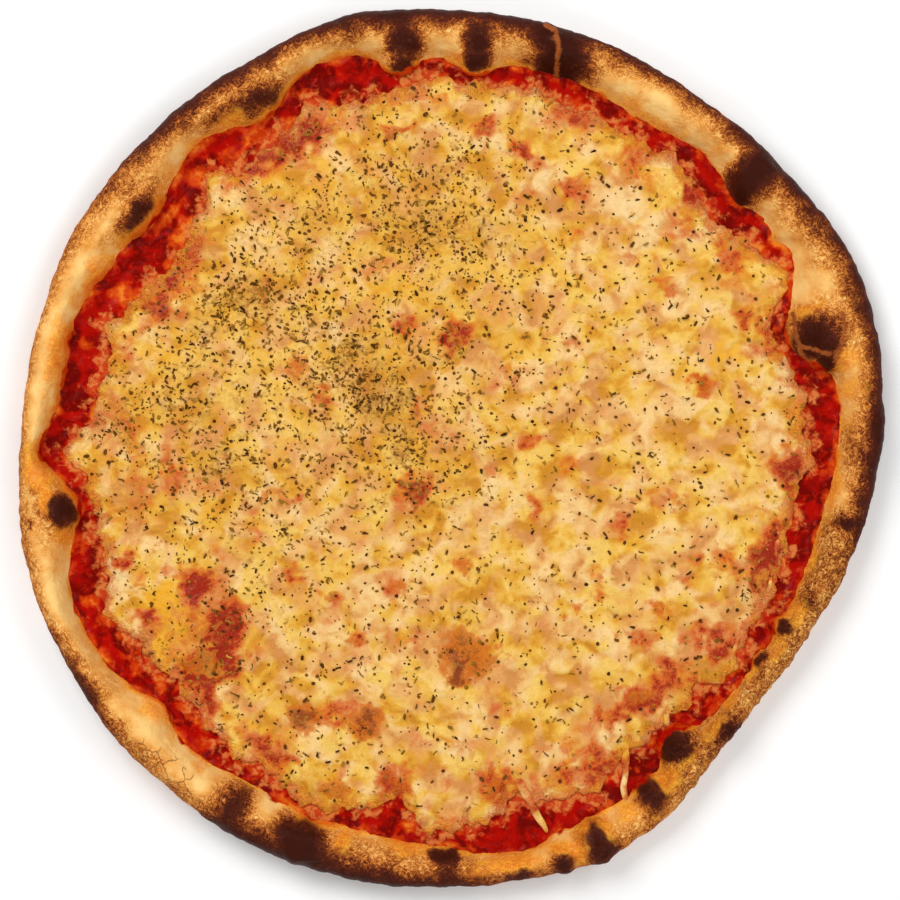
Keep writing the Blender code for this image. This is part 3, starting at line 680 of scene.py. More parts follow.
def dough_finish():
    """Baked dough: cream where it is pale, then golden, brown and black as the oven caught it."""
    dough = Finish("baked_dough", Specular_IOR_Level=0.05)
    names = ("bake", "oil", "seam", "stain", "cracked", "folded", "under")
    bake, oil, seam, stain, cracked, folded, under = dough.attributes(*names)
    coarse = dough.grain(8.0, 1.0, detail=4.0, roughness=0.6)
    speckle = dough.grain(2.0, 2.0, detail=3.0, roughness=0.55)
    # Fine curly strokes of the grain; where they lighten the dough's colour they are a painted oil sheen
    bristle_sheen = dough.curls(3.0, 3.0, thin=8.0)
    fold = dough.curls(4.2, 7.0)
    specks = (0.3 - dough.cells(2.8, 8.0)).step(0.0, 0.14)
    pits = dough.cells(1.5, 4.0)
    charred = bake.step(1.05, 1.8)
    middle = bake.step(0.1, 0.5) * (1 - charred * 0.6)
    uneven = (coarse - 0.5) * 0.5 + (speckle - 0.5) * 0.45 * (0.25 + middle) - specks * 0.22 * middle
    # Lighter along the curly strokes: painted oil sheen
    uneven = uneven - (bristle_sheen - 0.35) * 0.42 * middle - (fold - 0.4) * 0.36 * folded
    done = (bake + uneven) * 0.5
    base = dough.ramp(done, DOUGH_SHADES)
    leopard = (0.5 - dough.cells(8.0, 5.0)).step(0.05, 0.3) * under
    base = dough.blend(leopard * 0.85, base, DARK_DOUGH)
    oiled = oil + (speckle - 0.5) * 0.3 + (coarse - 0.5) * 1.3
    clear = 1 - bake.step(0.8, 1.25)
    richness = coarse + (fold - 0.4) * 0.2 + (speckle - 0.5) * 0.35
    oil_shade = dough.blend(richness.step(0.42, 0.66), PALE_OIL, BRIGHT_OIL)
    base = dough.blend(oiled.step(0.1, 0.7) * clear * 0.85, base, oil_shade)
    base = dough.blend(oiled.step(0.6, 1.15) * clear * 0.85, base, DEEP_OIL)
    stained = (stain + (speckle - 0.5) * 0.4 + (coarse - 0.5) * 0.5).step(0.15, 0.75)
    base = dough.blend(stained, base, dough.blend(coarse.step(0.45, 0.6), RED_SAUCE, ORANGE_SAUCE_SHADE))
    strand = (seam + (speckle - 0.5) * 1.1 + (coarse - 0.5) * 0.8).step(0.15, 0.7)
    base = dough.blend(strand, base, dough.blend(speckle.step(0.4, 0.6), BROWN_DOUGH, PALE_SEAM))
    warped = dough.bent_place(6.0, size=3.0, shift=1.6)
    lines = dough.cells(6.5, 6.0, feature="DISTANCE_TO_EDGE", place=warped)
    opened = (0.035 - lines).step(0.0, 0.03) * (cracked + (coarse - 0.5) * 1.6).step(0.45, 0.8)
    base = dough.blend(opened * 0.6, base, BROWN_DOUGH)
    roughness = 0.72 - oiled.step(0.1, 0.7) * 0.35 - stained * 0.3 - charred * 0.25
    rise = speckle * 0.5 + bristle_sheen * 0.22 * middle + coarse * 0.6 + pits.step(0.1, 0.5) * 0.15
    height = rise * (1 - charred * 0.6) + fold * folded * 0.8 - opened * 0.8
    return dough.finish(base, roughness, height, depth=0.5)


def sauce_finish():
    """Cooked tomato sauce, wet and red, orange where oil has run into it, pink under thin cheese."""
    sauce = Finish("tomato_sauce", Specular_IOR_Level=0.05)
    orange, film = sauce.attributes("orange", "film")
    thick = sauce.grain(8.0, 1.0, detail=3.0, roughness=0.55, distortion=0.8)
    pulp = sauce.grain(2.4, 2.0, detail=3.0, roughness=0.55, distortion=0.5)
    base = sauce.blend(thick.step(0.4, 0.62), RED_SAUCE, DARK_SAUCE)
    base = sauce.blend(pulp.step(0.5, 0.72) * 0.6, base, BRIGHT_SAUCE)
    share = orange + (0.5 - thick) * 1.6 + (pulp - 0.5) * 1.0
    base = sauce.blend(share.step(0.3, 0.8) * 0.85, base, ORANGE_SAUCE_SHADE)
    base = sauce.blend(share.step(0.7, 1.2) * 0.85, base, PALE_OIL)
    covered = film + (pulp - 0.5) * 1.6
    melted_shade = sauce.blend(pulp.step(0.42, 0.6), THIN_CHEESE_RED, PINK_CHEESE)
    base = sauce.blend(covered.step(0.25, 0.9) * 0.85, base, melted_shade)
    return sauce.finish(base, 0.24 + pulp * 0.14, thick * 0.7 + pulp * 0.35, depth=0.6)


def cheese_finish():
    """Melted cheese: cream, with butter-yellow oil, sauce showing through, toasted spots and painted
    highlights on its lumps.
    """
    cheese = Finish("melted_cheese", Specular_IOR_Level=0.12)
    stained, toasted, buttery, milky, herby, edge = cheese.attributes(*CHEESE_PAINTS)
    cloud = cheese.grain(15.0, 1.0, detail=1.0, roughness=0.4, distortion=0.3)
    patch = cheese.grain(7.5, 2.0, detail=1.0, roughness=0.45, distortion=0.7)
    hue = cheese.grain(10.0, 6.0, detail=1.5, roughness=0.45, distortion=0.6)
    blush = cheese.grain(13.0, 9.0, detail=1.5, roughness=0.45, distortion=0.6)
    blotch = cheese.grain(6.5, 3.0, detail=3.0, roughness=0.6, distortion=0.9)
    fleck = cheese.grain(2.4, 4.0, detail=2.0, roughness=0.55, distortion=0.9)
    curl = cheese.curls(3.2, 5.0, thin=7.0)
    tone = 0.54 + (cloud - 0.5) * 1.1 + (patch - 0.5) * 1.7 + (fleck - 0.5) * 0.6 + milky * 0.08
    yellow = (hue + buttery * 0.12 + herby * 0.06 - milky * 0.12).step(0.4, 0.6)
    pale = cheese.ramp(tone, CHEESE_SHADES)
    base = cheese.blend(yellow, pale, cheese.ramp(tone, YELLOW_SHADES))
    base = cheese.blend((blush - milky * 0.1).step(0.53, 0.72) * 0.7, base, BLUSH_CHEESE)
    # Milky cheese, pale where the lumps rise: partly real milky cheese, partly painted highlight
    base = cheese.blend((milky + (patch - 0.5) * 1.6).step(0.3, 1.0) * 0.75, base, MILKY_HIGHLIGHT_CHEESE)
    base = cheese.blend((buttery + (cloud - 0.5) * 2.0).step(0.3, 1.0) * 0.8, base, YELLOW_CHEESE)
    share = stained + (blotch - 0.5) * 1.4 + (blush - 0.5) * 1.4 + (fleck - 0.5) * 0.5 + edge * 0.15
    faint = cheese.blend(hue.step(0.42, 0.58), PINK_CHEESE, AMBER_CHEESE)
    base = cheese.blend(share.step(0.2, 0.65) * 0.8, base, faint)
    base = cheese.blend(share.step(0.45, 0.95) * 0.85, base, ORANGE_CHEESE)
    base = cheese.blend((share - curl * 0.2).step(0.68, 1.12) * 0.95, base, RED_CHEESE)
    crisp = toasted + (patch - 0.5) * 1.2 + (fleck - 0.5) * 0.9
    base = cheese.blend(crisp.step(0.3, 0.75) * 0.85, base, TOASTED_CHEESE)
    base = cheese.blend((crisp - curl * 0.25).step(0.65, 1.25) * 0.85, base, BROWN_CHEESE)
    thin = (edge + (blotch - 0.5) * 1.6 + (fleck - 0.5) * 0.5).step(0.35, 1.0)
    melting = cheese.blend(hue.step(0.4, 0.6), PINK_CHEESE, AMBER_CHEESE)
    through = cheese.blend((blotch + curl * 0.1).step(0.44, 0.62), THIN_CHEESE_RED, melting)
    base = cheese.blend(thin * 0.85, base, through)
    shade = herby + (fleck - 0.5) * 1.6 + (patch - 0.5) * 1.2
    base = cheese.blend(shade.step(0.25, 0.9) * 0.55, base, HERB_OIL)
    threads = (1 - curl * 0.75) * (0.55 + (fleck + blotch - 1) * 1.3)
    base = cheese.blend(shade.step(0.5, 1.15) * threads, base, HERB_BROWN)
    roughness = 0.46 - share.step(0.1, 0.8) * 0.14 + (fleck - 0.5) * 0.15
    height = cloud * 0.5 + patch * 1.0 + blotch * 0.35 + fleck * 0.18 + curl * (edge * 0.2 + 0.05)
    return cheese.finish(base, roughness, height, depth=1.3)


def herb_finish(name, shades):
    """Dried leaf, each flake in a tone of its own."""
    herb = Finish(name, Specular_IOR_Level=0.1)
    (tone,) = herb.attributes("tone")
    mottle = herb.grain(0.5, 1.0)
    dark, middle, light = shades
    base = herb.ramp(tone + (mottle - 0.5) * 0.3, ((0.0, dark), (0.55, middle), (1.0, light)))
    return herb.finish(base, 0.8)


def mesh_points(thing, what="co"):
    """The places of a piece's points, or their normals."""
    held = np.empty(len(thing.data.vertices) * 3)
    thing.data.vertices.foreach_get(what, held)
    return held.reshape(-1, 3)


def set_points(thing, points):
    thing.data.vertices.foreach_set("co", points.ravel())
    thing.data.update()


def paint(thing, name, values):
    """Keeps a number at each point of a piece for its material to read."""
    layer = thing.data.attributes.new(name, "FLOAT", "POINT")
    layer.data.foreach_set("value", np.asarray(values, np.float32))


def linked(name, data):
    """An object in the scene, made from its mesh, lamp or lens."""
    made = bpy.data.objects.new(name, data)
    bpy.context.scene.collection.objects.link(made)
    return made


def object_of(name, maker, finish):
    mesh = bpy.data.meshes.new(name)
    maker.to_mesh(mesh)
    maker.free()
    mesh.materials.append(finish)
    mesh.shade_smooth()
    return linked(name, mesh)


def into_frame(thing, slot, *nodes):
    """Turns a finished piece from millimetres to the frame, hangs it under the root and hides the parts
    that it replaces.
    """
    thing.data.transform(Matrix.Scale(MM, 4) @ Matrix.Translation(-MIDDLE))
    thing.data.update()
    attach(thing, "root")
    if nodes:
        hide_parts(*nodes)


def smooth_line(points, steps):
    """A smooth line through the points, with so many steps between two of them."""
    padded = np.array([points[0], *points, points[-1]])
    line = []
    for four in zip(padded, padded[1:], padded[2:], padded[3:]):
        line += [tuple(smooth_between(*four, share)) for share in np.arange(steps) / steps]
    return line + [tuple(points[-1])]


def spun(section, steps):
    """The closed body of a section that starts and ends on the Z axis, from four quarter turns."""
    body = bmesh.new()
    points = [body.verts.new((r, 0.0, z)) for r, z in section]
    for a, b in zip(points, points[1:]):
        body.edges.new((a, b))
    turn = {"cent": (0.0, 0.0, 0.0), "axis": (0.0, 0.0, 1.0)}
    line = body.verts[:] + body.edges[:]
    bmesh.ops.spin(body, geom=line, angle=math.tau / 4, steps=steps // 4, **turn)
    quarter = body.verts[:] + body.edges[:] + body.faces[:]
    bmesh.ops.spin(body, geom=quarter, angle=math.tau * 3 / 4, steps=3, use_duplicate=True, **turn)
    bmesh.ops.remove_doubles(body, verts=body.verts, dist=1e-4)
    bmesh.ops.recalc_face_normals(body, faces=body.faces)
    return body


def fit_to_outline(points):
    """Moves the points of a spun section to where the real outline has them."""
    radius, angle = polar(points)
    reach = outline(RIM_REACH, angle)
    foot = rim_foot(angle)
    crest = outline(RIM_CREST, angle) / SPUN_CREST
    share = (SPUN_REACH - radius) / (SPUN_REACH - SPUN_FOOT)
    inside = radius <= SPUN_FOOT + ROUNDING
    fitted = np.where(inside, radius * foot / SPUN_FOOT, reach - share * (reach - foot))
    height = np.where(inside, points[:, 2], points[:, 2] * crest)
    return np.column_stack((*on_plane(fitted, angle), height))


def rim_relief(points):
    """Soft lumps of baked dough, none on the underside or at the foot."""
    radius, angle = polar(points)
    x, y, z = points.T
    foot = rim_foot(angle)
    shown = smooth_step(1.0, 8.0, z) * smooth_step(foot + 0.5, foot + 5.0, radius)
    lifted = z + shown * (ripple(x, y, RIM_SWELL) + ripple(x, y, RIM_LUMPS))
    pushed = radius + shown * ripple(x, y, RIM_WOBBLE)
    return np.column_stack((*on_plane(pushed, angle), lifted))


def seam_cover(x, y):
    """How near each point is to one of the raised strands on the dough."""
    cover = np.zeros_like(x)
    for corners, half_width in SEAMS:
        line = [on_plane(distance, math.radians(angle_deg)) for angle_deg, distance in corners]
        cover = np.maximum(cover, near_line(x, y, line, half_width))
    return cover


def leathery_share(angle):
    """Where the rim is brown and finely folded, on its lower right."""
    turned = np.degrees(angle) % 360.0
    start, full, last_full, end = LEATHERY_BAND
    return smooth_step(start, full, turned) * smooth_step(end, last_full, turned)


def add_blisters(crust):
    """Pushes blisters and fine relief out of the crust along its normals."""
    points = mesh_points(crust)
    x, y, z = points.T
    radius, angle = polar(points)
    foot = rim_foot(angle)
    shown = smooth_step(0.5, 5.0, z) * smooth_step(foot - 0.5, foot + 2.0, radius)
    warped_x, warped_y = ragged(x, y, 40, 0.8)
    out = rim_marks(warped_x, warped_y, BLISTERS, soft=0.45)
    angle_deg, distance, half_long, half_wide, height = BURST_BLISTER
    burst = rim_marks(warped_x, warped_y, [BURST_BLISTER], soft=0.2)
    floor_row = (angle_deg, distance, 0.76 * half_long, 0.78 * half_wide, 1.0)
    floor = rim_marks(warped_x, warped_y, [floor_row], soft=0.14)
    rough_floor = 0.4 * height + 0.9 * layered(x, y, 4.0, 45)
    out = np.maximum(out, burst * (1.0 - floor) + floor * rough_floor)
    out += 0.9 * smooth_step(0.0, 0.6, seam_cover(x, y))
    folds = np.abs(crumble(x, y, 5.0, 51)) + 0.5 * np.abs(crumble(x, y, 2.6, 52))
    out += leathery_share(angle) * (0.3 - 0.9 * folds)
    out += fine_relief(x, y, RIM_FINE)
    points += mesh_points(crust, "normal") * (out * np.where(z > 0.5, shown, 0.0))[:, None]
    over = np.maximum(points[:, 2] - CREST_SOFT, 0.0)
    points[:, 2] -= over - CREST_ROOM * np.tanh(over / CREST_ROOM)
    set_points(crust, points)


def paint_crust(crust):
    """Where the dough is baked dark, oily, stained by the sauce, folded, cracked and underneath."""
    points = mesh_points(crust)
    x, y, z = points.T
    radius, angle = polar(points)
    foot = rim_foot(angle)
    inwards = outline(RIM_REACH, angle) - radius
    top = smooth_step(3.0, 8.0, z)
    shown = smooth_step(2.0, 4.4, z)
    warped_x, warped_y = ragged(x, y, 60, 1.6)
    depth = outline(BROWN_DEPTH, angle) * (1.0 + 0.35 * layered(x, y, 14.0, 61))
    edge_char = np.clip(outline(EDGE_CHAR, angle), 0.0, 1.0)
    edge_brown = 0.5 + 0.6 * edge_char
    brown = edge_brown * (1.0 - smooth_step(-0.25 * depth, 1.5 * depth + 3.0, inwards))
    brown = np.maximum(brown, 0.95 * rim_marks(warped_x, warped_y, BROWNED, soft=0.95))
    leather = leathery_share(angle)
    brown = np.maximum(brown, leather * (0.52 + 0.12 * layered(x, y, 12.0, 63)))
    char_depth = (5.0 + 9.0 * edge_char) * (1.0 + 0.5 * layered(x, y, 8.0, 64))
    char = 0.85 * smooth_step(0.3, 0.8, edge_char) * (1.0 - smooth_step(-4.0, char_depth, inwards))
    char = np.maximum(char, 1.25 * rim_marks(warped_x, warped_y, CHARRED, soft=0.9))
    bake = np.where(shown > 0, 0.06 + brown + 0.18 * layered(x, y, 9.0, 62), 0.4) + 0.9 * char * shown
    oil = rim_marks(*ragged(x, y, 70, 1.2), OILY, soft=0.8) * top
    oil_depth = outline(OIL_DEPTH, angle) * (1.0 + 0.7 * layered(x, y, 12.0, 72))
    strip = 1.15 * (1.0 - smooth_step(foot, foot + 1.5 * oil_depth + 0.5, radius))
    splash = foot + 0.4 + 1.8 * layered(x, y, 7.0, 71)
    stain = 1.0 - smooth_step(splash - 1.0, splash + 1.4, radius)
    paint(crust, "bake", bake)
    paint(crust, "oil", np.maximum(0.75 * oil, strip * shown))
    paint(crust, "stain", stain * shown)
    paint(crust, "seam", seam_cover(x, y) * shown)
    paint(crust, "folded", leather * smooth_step(foot + 2.0, foot + 5.0, radius) * top)
    paint(crust, "cracked", rim_marks(x, y, CRACKED, soft=0.6) * top)
    paint(crust, "under", 1.0 - smooth_step(1.0, 5.0, z))


def make_crust():
    rim = [(SPUN_REACH - u * (SPUN_REACH - SPUN_FOOT), v * SPUN_CREST) for u, v in RIM_SECTION]
    underside = [(radius, 0.0) for radius in np.arange(0.0, UNDERSIDE_REACH, UNDERSIDE_STEP)]
    section = [*underside, *smooth_line(rim, 7), (SPUN_FOOT - FLOOR_INSET, FLOOR_LEVEL), (0.0, FLOOR_LEVEL)]
    crust = object_of("crust_baked", spun(section, CRUST_STEPS), dough_finish())
    set_points(crust, rim_relief(fit_to_outline(mesh_points(crust))))
    add_blisters(crust)
    paint_crust(crust)
    return crust


def make_sauce():
    edge = SPUN_FOOT + SAUCE_TUCK
    bank = [(edge - 1.0, SAUCE_BASE), (edge, SAUCE_BASE + 0.5), (edge, SAUCE_LEVEL - 0.4)]
    inner = [(edge - step, SAUCE_LEVEL) for step in np.arange(0.6, SAUCE_FINE_REACH, SAUCE_FINE_STEP)]
    hidden = [(edge - SAUCE_HIDDEN_REACH, SAUCE_LEVEL), (0.0, SAUCE_LEVEL)]
    section = [(0.0, SAUCE_BASE), *bank, *inner, *hidden]
    sauce = object_of("sauce_cooked", spun(section, SAUCE_STEPS), sauce_finish())
    points = mesh_points(sauce)
    radius, angle = polar(points)
    inside = radius * rim_foot(angle) / SPUN_FOOT
    top = smooth_step(SAUCE_BASE + 1.0, SAUCE_LEVEL, points[:, 2])
    x, y = on_plane(inside, angle)
    climb = smooth_step(SPUN_FOOT - 4.0, SPUN_FOOT + 1.0, radius) * (0.5 + layered(x, y, 5.0, 81))
    relief = ripple(x, y, SAUCE_DIPS) + fine_relief(x, y, SAUCE_FINE)
    height = points[:, 2] + top * (relief + 0.9 * climb)
    set_points(sauce, np.column_stack((x, y, height)))
    orange = rim_marks(*ragged(x, y, 90, 1.8), ORANGE_SAUCE, soft=0.7)
    outer = smooth_step(SPUN_FOOT - 3.5, SPUN_FOOT + 1.0, radius) * (0.5 + 0.7 * layered(x, y, 9.0, 91))
    beyond = inside - cheese_reach(angle)
    inner_share = (1.0 - smooth_step(0.0, 5.0, beyond)) * (0.35 + 0.9 * layered(x, y, 10.0, 92))
    paint(sauce, "orange", np.maximum(orange, np.maximum(outer, inner_share)))
    film = (1.0 - smooth_step(0.5, 8.5, beyond)) * (0.66 + 1.2 * layered(x, y, 9.0, 93))
    paint(sauce, "film", film)
    return sauce


def cheese_reach(angles):
    """The ragged edge of the cheese."""
    reach = outline(CHEESE_REACH, angles, CHEESE_BULGES)
    x, y = on_plane(reach, angles)
    return reach + 3.0 * layered(x, y, 7.0, 101, layers=4)


def disc_from_grid(points):
    """Maps the square grid to the unit disc with even spacing."""
    a, b, _ = points.T
    wide = np.abs(a) > np.abs(b)
    safe_a = np.where(np.abs(a) < 1e-9, 1.0, a)
    safe_b = np.where(np.abs(b) < 1e-9, 1.0, b)
    radius = np.where(wide, a, b)
    angle = np.where(wide, math.pi / 4 * b / safe_a, math.pi / 2 - math.pi / 4 * a / safe_b)
    return radius * np.cos(angle), radius * np.sin(angle)


def cheese_height(x, y, inwards):
    """Top of the cheese above its base: body, lumps, melted shreds and the browned dome."""
    body = CHEESE_EDGE + (CHEESE_BODY - CHEESE_EDGE) * smooth_step(-1.0, 14.0, inwards)
    lumps = sum(ripple(x, y, relief) for relief in CHEESE_LUMPS)
    bent_x, bent_y = ragged(x, y, 110, 3.0, length=9.0)
    shreds = 0.3 - np.abs(crumble(bent_x, bent_y, 6.5, 113))
    shreds -= 0.5 * np.abs(crumble(bent_x, bent_y, 3.2, 114))
    fine = 0.7 * shreds + fine_relief(x, y, CHEESE_FINE)
    (dome_x, dome_y), dome_radius, dome_height = CHEESE_DOME
    away = np.hypot(x - dome_x, y - dome_y) / dome_radius
    dome = dome_height * (1.0 - smooth_step(0.35, 1.0, away))
    return body + lumps * smooth_step(1.0, 10.0, inwards) + fine * smooth_step(-1.0, 5.0, inwards) + dome


def with_drifts(total, x, y, drifts):
    """Adds soft round drifts to how thickly the herbs lie."""
    for (drift_x, drift_y), spread, weight in drifts:
        total = total + weight * np.exp(-((x - drift_x) ** 2 + (y - drift_y) ** 2) / spread**2)
    return total


def herb_share(x, y):
    """How thickly the larger herbs lie at a place, from 0 to 1."""
    return np.minimum(with_drifts(HERB_EVERYWHERE, x, y, HERB_DRIFTS), 1.0)


def fine_herb_share(x, y):
    """How thickly the small herbs lie: everywhere, in wide drifts and in thick clumps."""
    total = FINE_HERB_EVERYWHERE + 0.5 * marks(x, y, HERB_CLUMPS, soft=0.9)
    return with_drifts(total, x, y, FINE_HERB_DRIFTS)


def make_cheese():
    body = bmesh.new()
    bmesh.ops.create_grid(body, x_segments=CHEESE_GRID, y_segments=CHEESE_GRID, size=1.0)
    rim = [edge for edge in body.edges if edge.is_boundary]
    side = bmesh.ops.extrude_edge_only(body, edges=rim)["geom"]
    for vert in (item for item in side if isinstance(item, bmesh.types.BMVert)):
        vert.co.z = -1.0
    bmesh.ops.contextual_create(body, geom=[edge for edge in body.edges if edge.is_boundary])
    bmesh.ops.recalc_face_normals(body, faces=body.faces)
    cheese = object_of("cheese_melted", body, cheese_finish())
    points = mesh_points(cheese)
    lower = points[:, 2] < -0.5
    disc_x, disc_y = disc_from_grid(points)
    share = np.hypot(disc_x, disc_y)
    angle = np.arctan2(disc_y, disc_x)
    reach = cheese_reach(angle)
    x, y = on_plane(share * reach, angle)
    inwards = (1.0 - share) * reach
    top = CHEESE_BASE + cheese_height(x, y, inwards)
    height = np.where(lower, SAUCE_LEVEL - CHEESE_SINK, top)
    set_points(cheese, np.column_stack((x, y, height)))
    warped = ragged(x, y, 120, 3.2, length=5.0)
    outer = 0.3 * smooth_step(95.0, 130.0, np.hypot(x, y))
    paint(cheese, "stained", 1.2 * marks(*warped, STAINED, soft=0.9) + outer)
    paint(cheese, "toasted", marks(*warped, TOASTED, soft=0.8))
    paint(cheese, "buttery", marks(*warped, BUTTERY, soft=0.85))
    # Milky parts, which also carry the painted highlights
    paint(cheese, "milky", marks(*warped, MILKY_AND_HIGHLIGHT, soft=0.85))
    clumps = 0.9 * marks(*warped, HERB_CLUMPS, soft=0.85)
    paint(cheese, "herby", np.minimum(fine_herb_share(x, y), 0.4) + clumps)
    width = 5.0 + 10.0 * np.abs(layered(x, y, 20.0, 133))
    paint(cheese, "edge", 1.0 - smooth_step(-0.5, width, inwards))
    return cheese


def paint_loose_cheese(thing, stained, milky, edge):
    """Gives the strings the numbers that the cheese's finish reads."""
    nothing = np.zeros(len(thing.data.vertices))
    given = {"stained": stained, "milky": milky, "edge": edge}
    for name in CHEESE_PAINTS:
        paint(thing, name, given.get(name, nothing))


def make_strings(finish):
    """Strings of cheese that have run over the sauce, even in width and blunt at their ends."""
    strings = bmesh.new()
    for number, (start, middle, end, half_wide) in enumerate(CHEESE_STRINGS):
        start, middle, end = (Vector(point) for point in (start, middle, end))
        parts = {"u_segments": STRING_SIDES, "v_segments": STRING_STEPS}
        for vert in bmesh.ops.create_uvsphere(strings, radius=1.0, **parts)["verts"]:
            across, up, along = vert.co
            share = (1.0 + along) / 2
            ring = math.sqrt(max(1.0 - along * along, 1e-6))
            blunt = math.sqrt(max(1.0 - along**8, 0.0)) / ring
            place = start * (1 - share) ** 2 + middle * 2 * share * (1 - share) + end * share**2
            ahead = ((middle - start) * (1 - share) + (end - middle) * share).normalized()
            uneven = 1.0 + 0.6 * noise.noise(Vector((place.x / 4.0, place.y / 4.0, number + 0.5)))
            shift = 1.4 * noise.noise(Vector((place.x / 7.0, place.y / 7.0, number + 9.5)))
            across = across * blunt * half_wide * (1.15 - 0.3 * share) * uneven + shift * share
            height = SAUCE_LEVEL + 0.1 + half_wide * 0.5 * (1.0 + up * blunt) * uneven
            vert.co = (place.x - ahead.y * across, place.y + ahead.x * across, height)
    thing = object_of("cheese_strings", strings, finish)
    x, y, _ = mesh_points(thing).T
    stained = 0.5 + 0.5 * layered(x, y, 5.0, 141)
    paint_loose_cheese(thing, stained, np.full_like(x, 0.1), 0.4 + 0.5 * layered(x, y, 4.0, 142))
    return thing


def flake_places(draw):
    """Places for the larger flakes, thicker where the herbs lie, and clear of each other."""
    placed = []
    while len(placed) < FLAKE_COUNT:
        angle = draw.uniform(0.0, math.tau)
        reach = float(outline(CHEESE_REACH, np.array([angle]))[0]) - FLAKE_MARGIN
        radius = reach * math.sqrt(draw.random())
        x, y = radius * math.cos(angle), radius * math.sin(angle)
        if draw.random() > float(herb_share(x, y)):
            continue
        if all(math.hypot(x - a, y - b) > FLAKE_CLEAR for a, b in placed):
            placed.append((x, y))
    return placed


def strewn(draw, count, clump_seed):
    """Places for small herbs, by their drifts and in clumps."""
    tries = count * TRIES
    angles = draw.uniform(0.0, math.tau, tries)
    reach = cheese_reach(angles) - 1.0
    x, y = on_plane(reach * np.sqrt(draw.random(tries)), angles)
    clumps = 0.6 + 0.9 * layered(x, y, 10.0, clump_seed) + 0.5 * crumble(x, y, 3.5, clump_seed + 5)
    chance = fine_herb_share(x, y) * np.clip(clumps, 0.05, 2.0)
    kept = draw.random(tries) < chance
    return x[kept][:count], y[kept][:count]


def leaf_shape(seed):
    """A crumpled scrap of leaf, one unit long."""
    leaf = bmesh.new()
    bmesh.ops.create_circle(leaf, cap_ends=True, segments=7, radius=0.5)
    bmesh.ops.poke(leaf, faces=leaf.faces[:])
    grown = bmesh.ops.extrude_face_region(leaf, geom=leaf.faces[:])["geom"]
    lifted = [item for item in grown if isinstance(item, bmesh.types.BMVert)]
    bmesh.ops.translate(leaf, verts=lifted, vec=(0.0, 0.0, 0.1))
    for vert in leaf.verts:
        x, y, z = vert.co
        wave = noise.noise(Vector((2.6 * x, 2.6 * y, seed)))
        curl = 0.5 * x * x - 0.25 * y + 0.2 * wave
        vert.co = (x * (1.0 + 0.5 * wave), 0.5 * y * (1.0 - 0.8 * wave), z + curl)
    bmesh.ops.recalc_face_normals(leaf, faces=leaf.faces)
    return leaf


def crumb_shape(seed):
    crumb = bmesh.new()
    bmesh.ops.create_icosphere(crumb, subdivisions=1, radius=0.5)
    for vert in crumb.verts:
        vert.co *= 1.0 + 0.5 * noise.noise(vert.co * 4.0 + Vector((seed, 0.0, 0.0)))
        vert.co.z *= 0.45
    return crumb


def stalk_shape(seed):
    """A thin bit of stalk, nearly straight and one unit long."""
    stalk = bmesh.new()
    bmesh.ops.create_cone(stalk, cap_ends=True, segments=5, radius1=0.13, radius2=0.08, depth=1.0)
    for cut in (-0.2, 0.2):
        shape = stalk.verts[:] + stalk.edges[:] + stalk.faces[:]
        bmesh.ops.bisect_plane(stalk, geom=shape, plane_co=(0.0, 0.0, cut), plane_no=(0.0, 0.0, 1.0))
    for vert in stalk.verts:
        x, y, z = vert.co
        bend = 0.25 * z * z + 0.12 * noise.noise(Vector((2.0 * z, seed, 0.0)))
        vert.co = (z, x + bend, y)
    bmesh.ops.recalc_face_normals(stalk, faces=stalk.faces)
    return stalk


def scattered(name, shapes, finish, rows):
    """Copies of a few shapes as one piece: each row has place, size, width and turn."""
    corners_of = []
    faces_of = []
    for shape in shapes:
        bmesh.ops.triangulate(shape, faces=shape.faces[:])
        shape.verts.index_update()
        corners_of.append(np.array([vert.co[:] for vert in shape.verts]))
        faces_of.append(np.array([[vert.index for vert in face.verts] for face in shape.faces]))
        shape.free()
    places = []
    faces = []
    used = 0
    for number, (place, size, width, turn) in enumerate(rows):
        corners = corners_of[number % len(shapes)]
        places.append((corners * (size, size * width, size)) @ np.array(turn.to_matrix()).T + place)
        faces.append(faces_of[number % len(shapes)] + used)
        used += len(corners)
    mesh = bpy.data.meshes.new(name)
    mesh.from_pydata(np.concatenate(places), [], np.concatenate(faces))
    mesh.materials.append(finish)
    counts = [len(corners_of[number % len(shapes)]) for number in range(len(rows))]
    return linked(name, mesh), counts


def lay_on(surfaces, draw, x, y, size, lift):
    """Place and turn of a flake that lies on the highest of the surfaces."""
    start = Vector((x, y, DROP_HEIGHT))
    found = [surface.ray_cast(start, Vector((0.0, 0.0, -1.0))) for surface in surfaces]
    hits = [(hit.z, normal) for hit, normal, _, _ in found if hit]
    if not hits:
        return None
    level, normal = max(hits, key=lambda item: item[0])
    tilts = draw.uniform(-2.0 * FLAKE_TILT, 2.0 * FLAKE_TILT, 2)
    lean = Vector((0.0, 0.0, 1.0)).rotation_difference(normal)
    turn = lean @ Euler((*tilts, 0.0)).to_quaternion()
    turn = turn @ Euler((0.0, 0.0, draw.uniform(0.0, math.tau))).to_quaternion()
    return (x, y, level + lift * size), turn


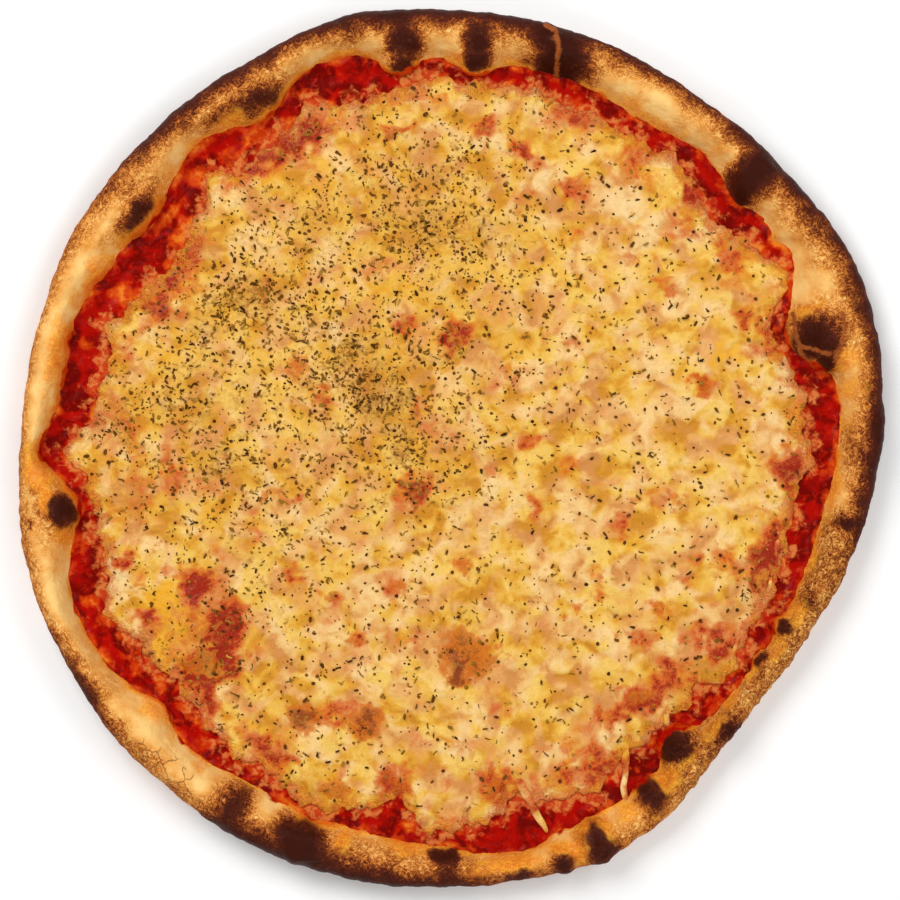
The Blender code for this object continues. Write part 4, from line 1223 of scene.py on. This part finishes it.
def make_herbs(surfaces):
    """Dried leaf, crumbs of it and bits of stalk, strewn over the cheese."""
    large = flake_places(random.Random(SEED))
    for number, (name, kind, count, sizes, bias, widths, lift, shades) in enumerate(HERB_KINDS):
        draw = np.random.default_rng(SEED + number)
        xs, ys = strewn(draw, count, 150 + 20 * number)
        places = list(zip(xs.tolist(), ys.tolist()))
        lengths = list(sizes[0] + (sizes[1] - sizes[0]) * draw.random(len(places)) ** bias)
        if kind is leaf_shape:
            steps = np.arange(FLAKE_COUNT) / FLAKE_COUNT
            shortest, longest = FLAKE_LONG
            places = large + places
            lengths = list(0.85 * (longest - (longest - shortest) * steps)) + lengths
        rows = []
        for (x, y), length in zip(places, lengths):
            lain = lay_on(surfaces, draw, x, y, length, lift)
            if lain:
                rows.append((lain[0], length, draw.uniform(*widths), lain[1]))
        shapes = [kind(seed) for seed in (0.7, 3.1, 5.9, 8.3)]
        herbs, counts = scattered(name, shapes, herb_finish(name, shades), rows)
        paint(herbs, "tone", np.repeat(draw.random(len(rows)), counts))
        into_frame(herbs, "cheese")


# Kinds of herb: name, shape, count, lengths, bias to short ones, widths, the share of its length
# that each stands off the surface, and the dark, middle and light shades
HERB_KINDS = (
    ("herb_leaves", leaf_shape, 1650, (1.0, 2.7), 1.8, (0.6, 1.1), 0.03,
     (colour(56, 26, 4), colour(104, 60, 12), colour(158, 114, 34))),
    ("herb_crumbs", crumb_shape, 3600, (0.7, 1.8), 2.0, (0.5, 1.0), 0.05,
     (colour(62, 30, 6), colour(116, 72, 16), colour(170, 124, 40))),
    ("herb_stalks", stalk_shape, 1300, (1.0, 2.6), 1.5, (0.8, 1.5), 0.06,
     (colour(100, 60, 12), colour(150, 106, 26), colour(200, 154, 54))),
)


def make_floor():
    """A plain pale floor, far wider than the view."""
    pale = Finish("pale_floor")
    base = pale.blend(pale.grain(400.0, 1.0), colour(253, 252, 251), colour(255, 255, 254))
    floor_maker = bmesh.new()
    bmesh.ops.create_grid(floor_maker, x_segments=1, y_segments=1, size=FLOOR_HALF)
    floor = object_of("floor", floor_maker, pale.finish(base, 0.9))


def light_the_stage():
    """Square soft lights that look at the middle of the pizza, in a dim white room."""
    scene = bpy.context.scene
    scene.view_settings.view_transform = "Standard"
    scene.world = bpy.data.worlds.new("soft_studio")
    scene.world.use_nodes = True
    backdrop = scene.world.node_tree.nodes["Background"]
    backdrop.inputs["Color"].default_value = (1.0, 1.0, 1.0, 1.0)
    backdrop.inputs["Strength"].default_value = ROOM_LIGHT
    for name, place, power, size in LIGHTS:
        lamp = bpy.data.lights.new(name, "AREA")
        lamp.energy = power
        lamp.size = size
        made = linked(name, lamp)
        made.location = place
        made.rotation_euler = (-Vector(place)).to_track_quat("-Z", "Y").to_euler()


def set_camera():
    """A long lens straight above."""
    lens = bpy.data.cameras.new("camera")
    lens.sensor_width = SENSOR_SIDE
    lens.lens = SENSOR_SIDE * (CAMERA_HEIGHT - VIEW_LEVEL) / VIEW_SIDE
    camera = linked("camera", lens)
    camera.location = (Vector((*VIEW_MIDDLE, CAMERA_HEIGHT)) - MIDDLE) * MM
    bpy.context.scene.camera = camera


set_camera()
light_the_stage()
make_floor()
into_frame(make_crust(), "dough", "crust")
sauce_piece = make_sauce()
cheese_piece = make_cheese()
melted = cheese_piece.data.materials[0]
depsgraph = bpy.context.evaluated_depsgraph_get()
surfaces = [BVHTree.FromObject(piece, depsgraph) for piece in (sauce_piece, cheese_piece)]
into_frame(make_strings(melted), "cheese")
make_herbs(surfaces)
into_frame(sauce_piece, "sauce", "sauce")
into_frame(cheese_piece, "cheese", "cheese")
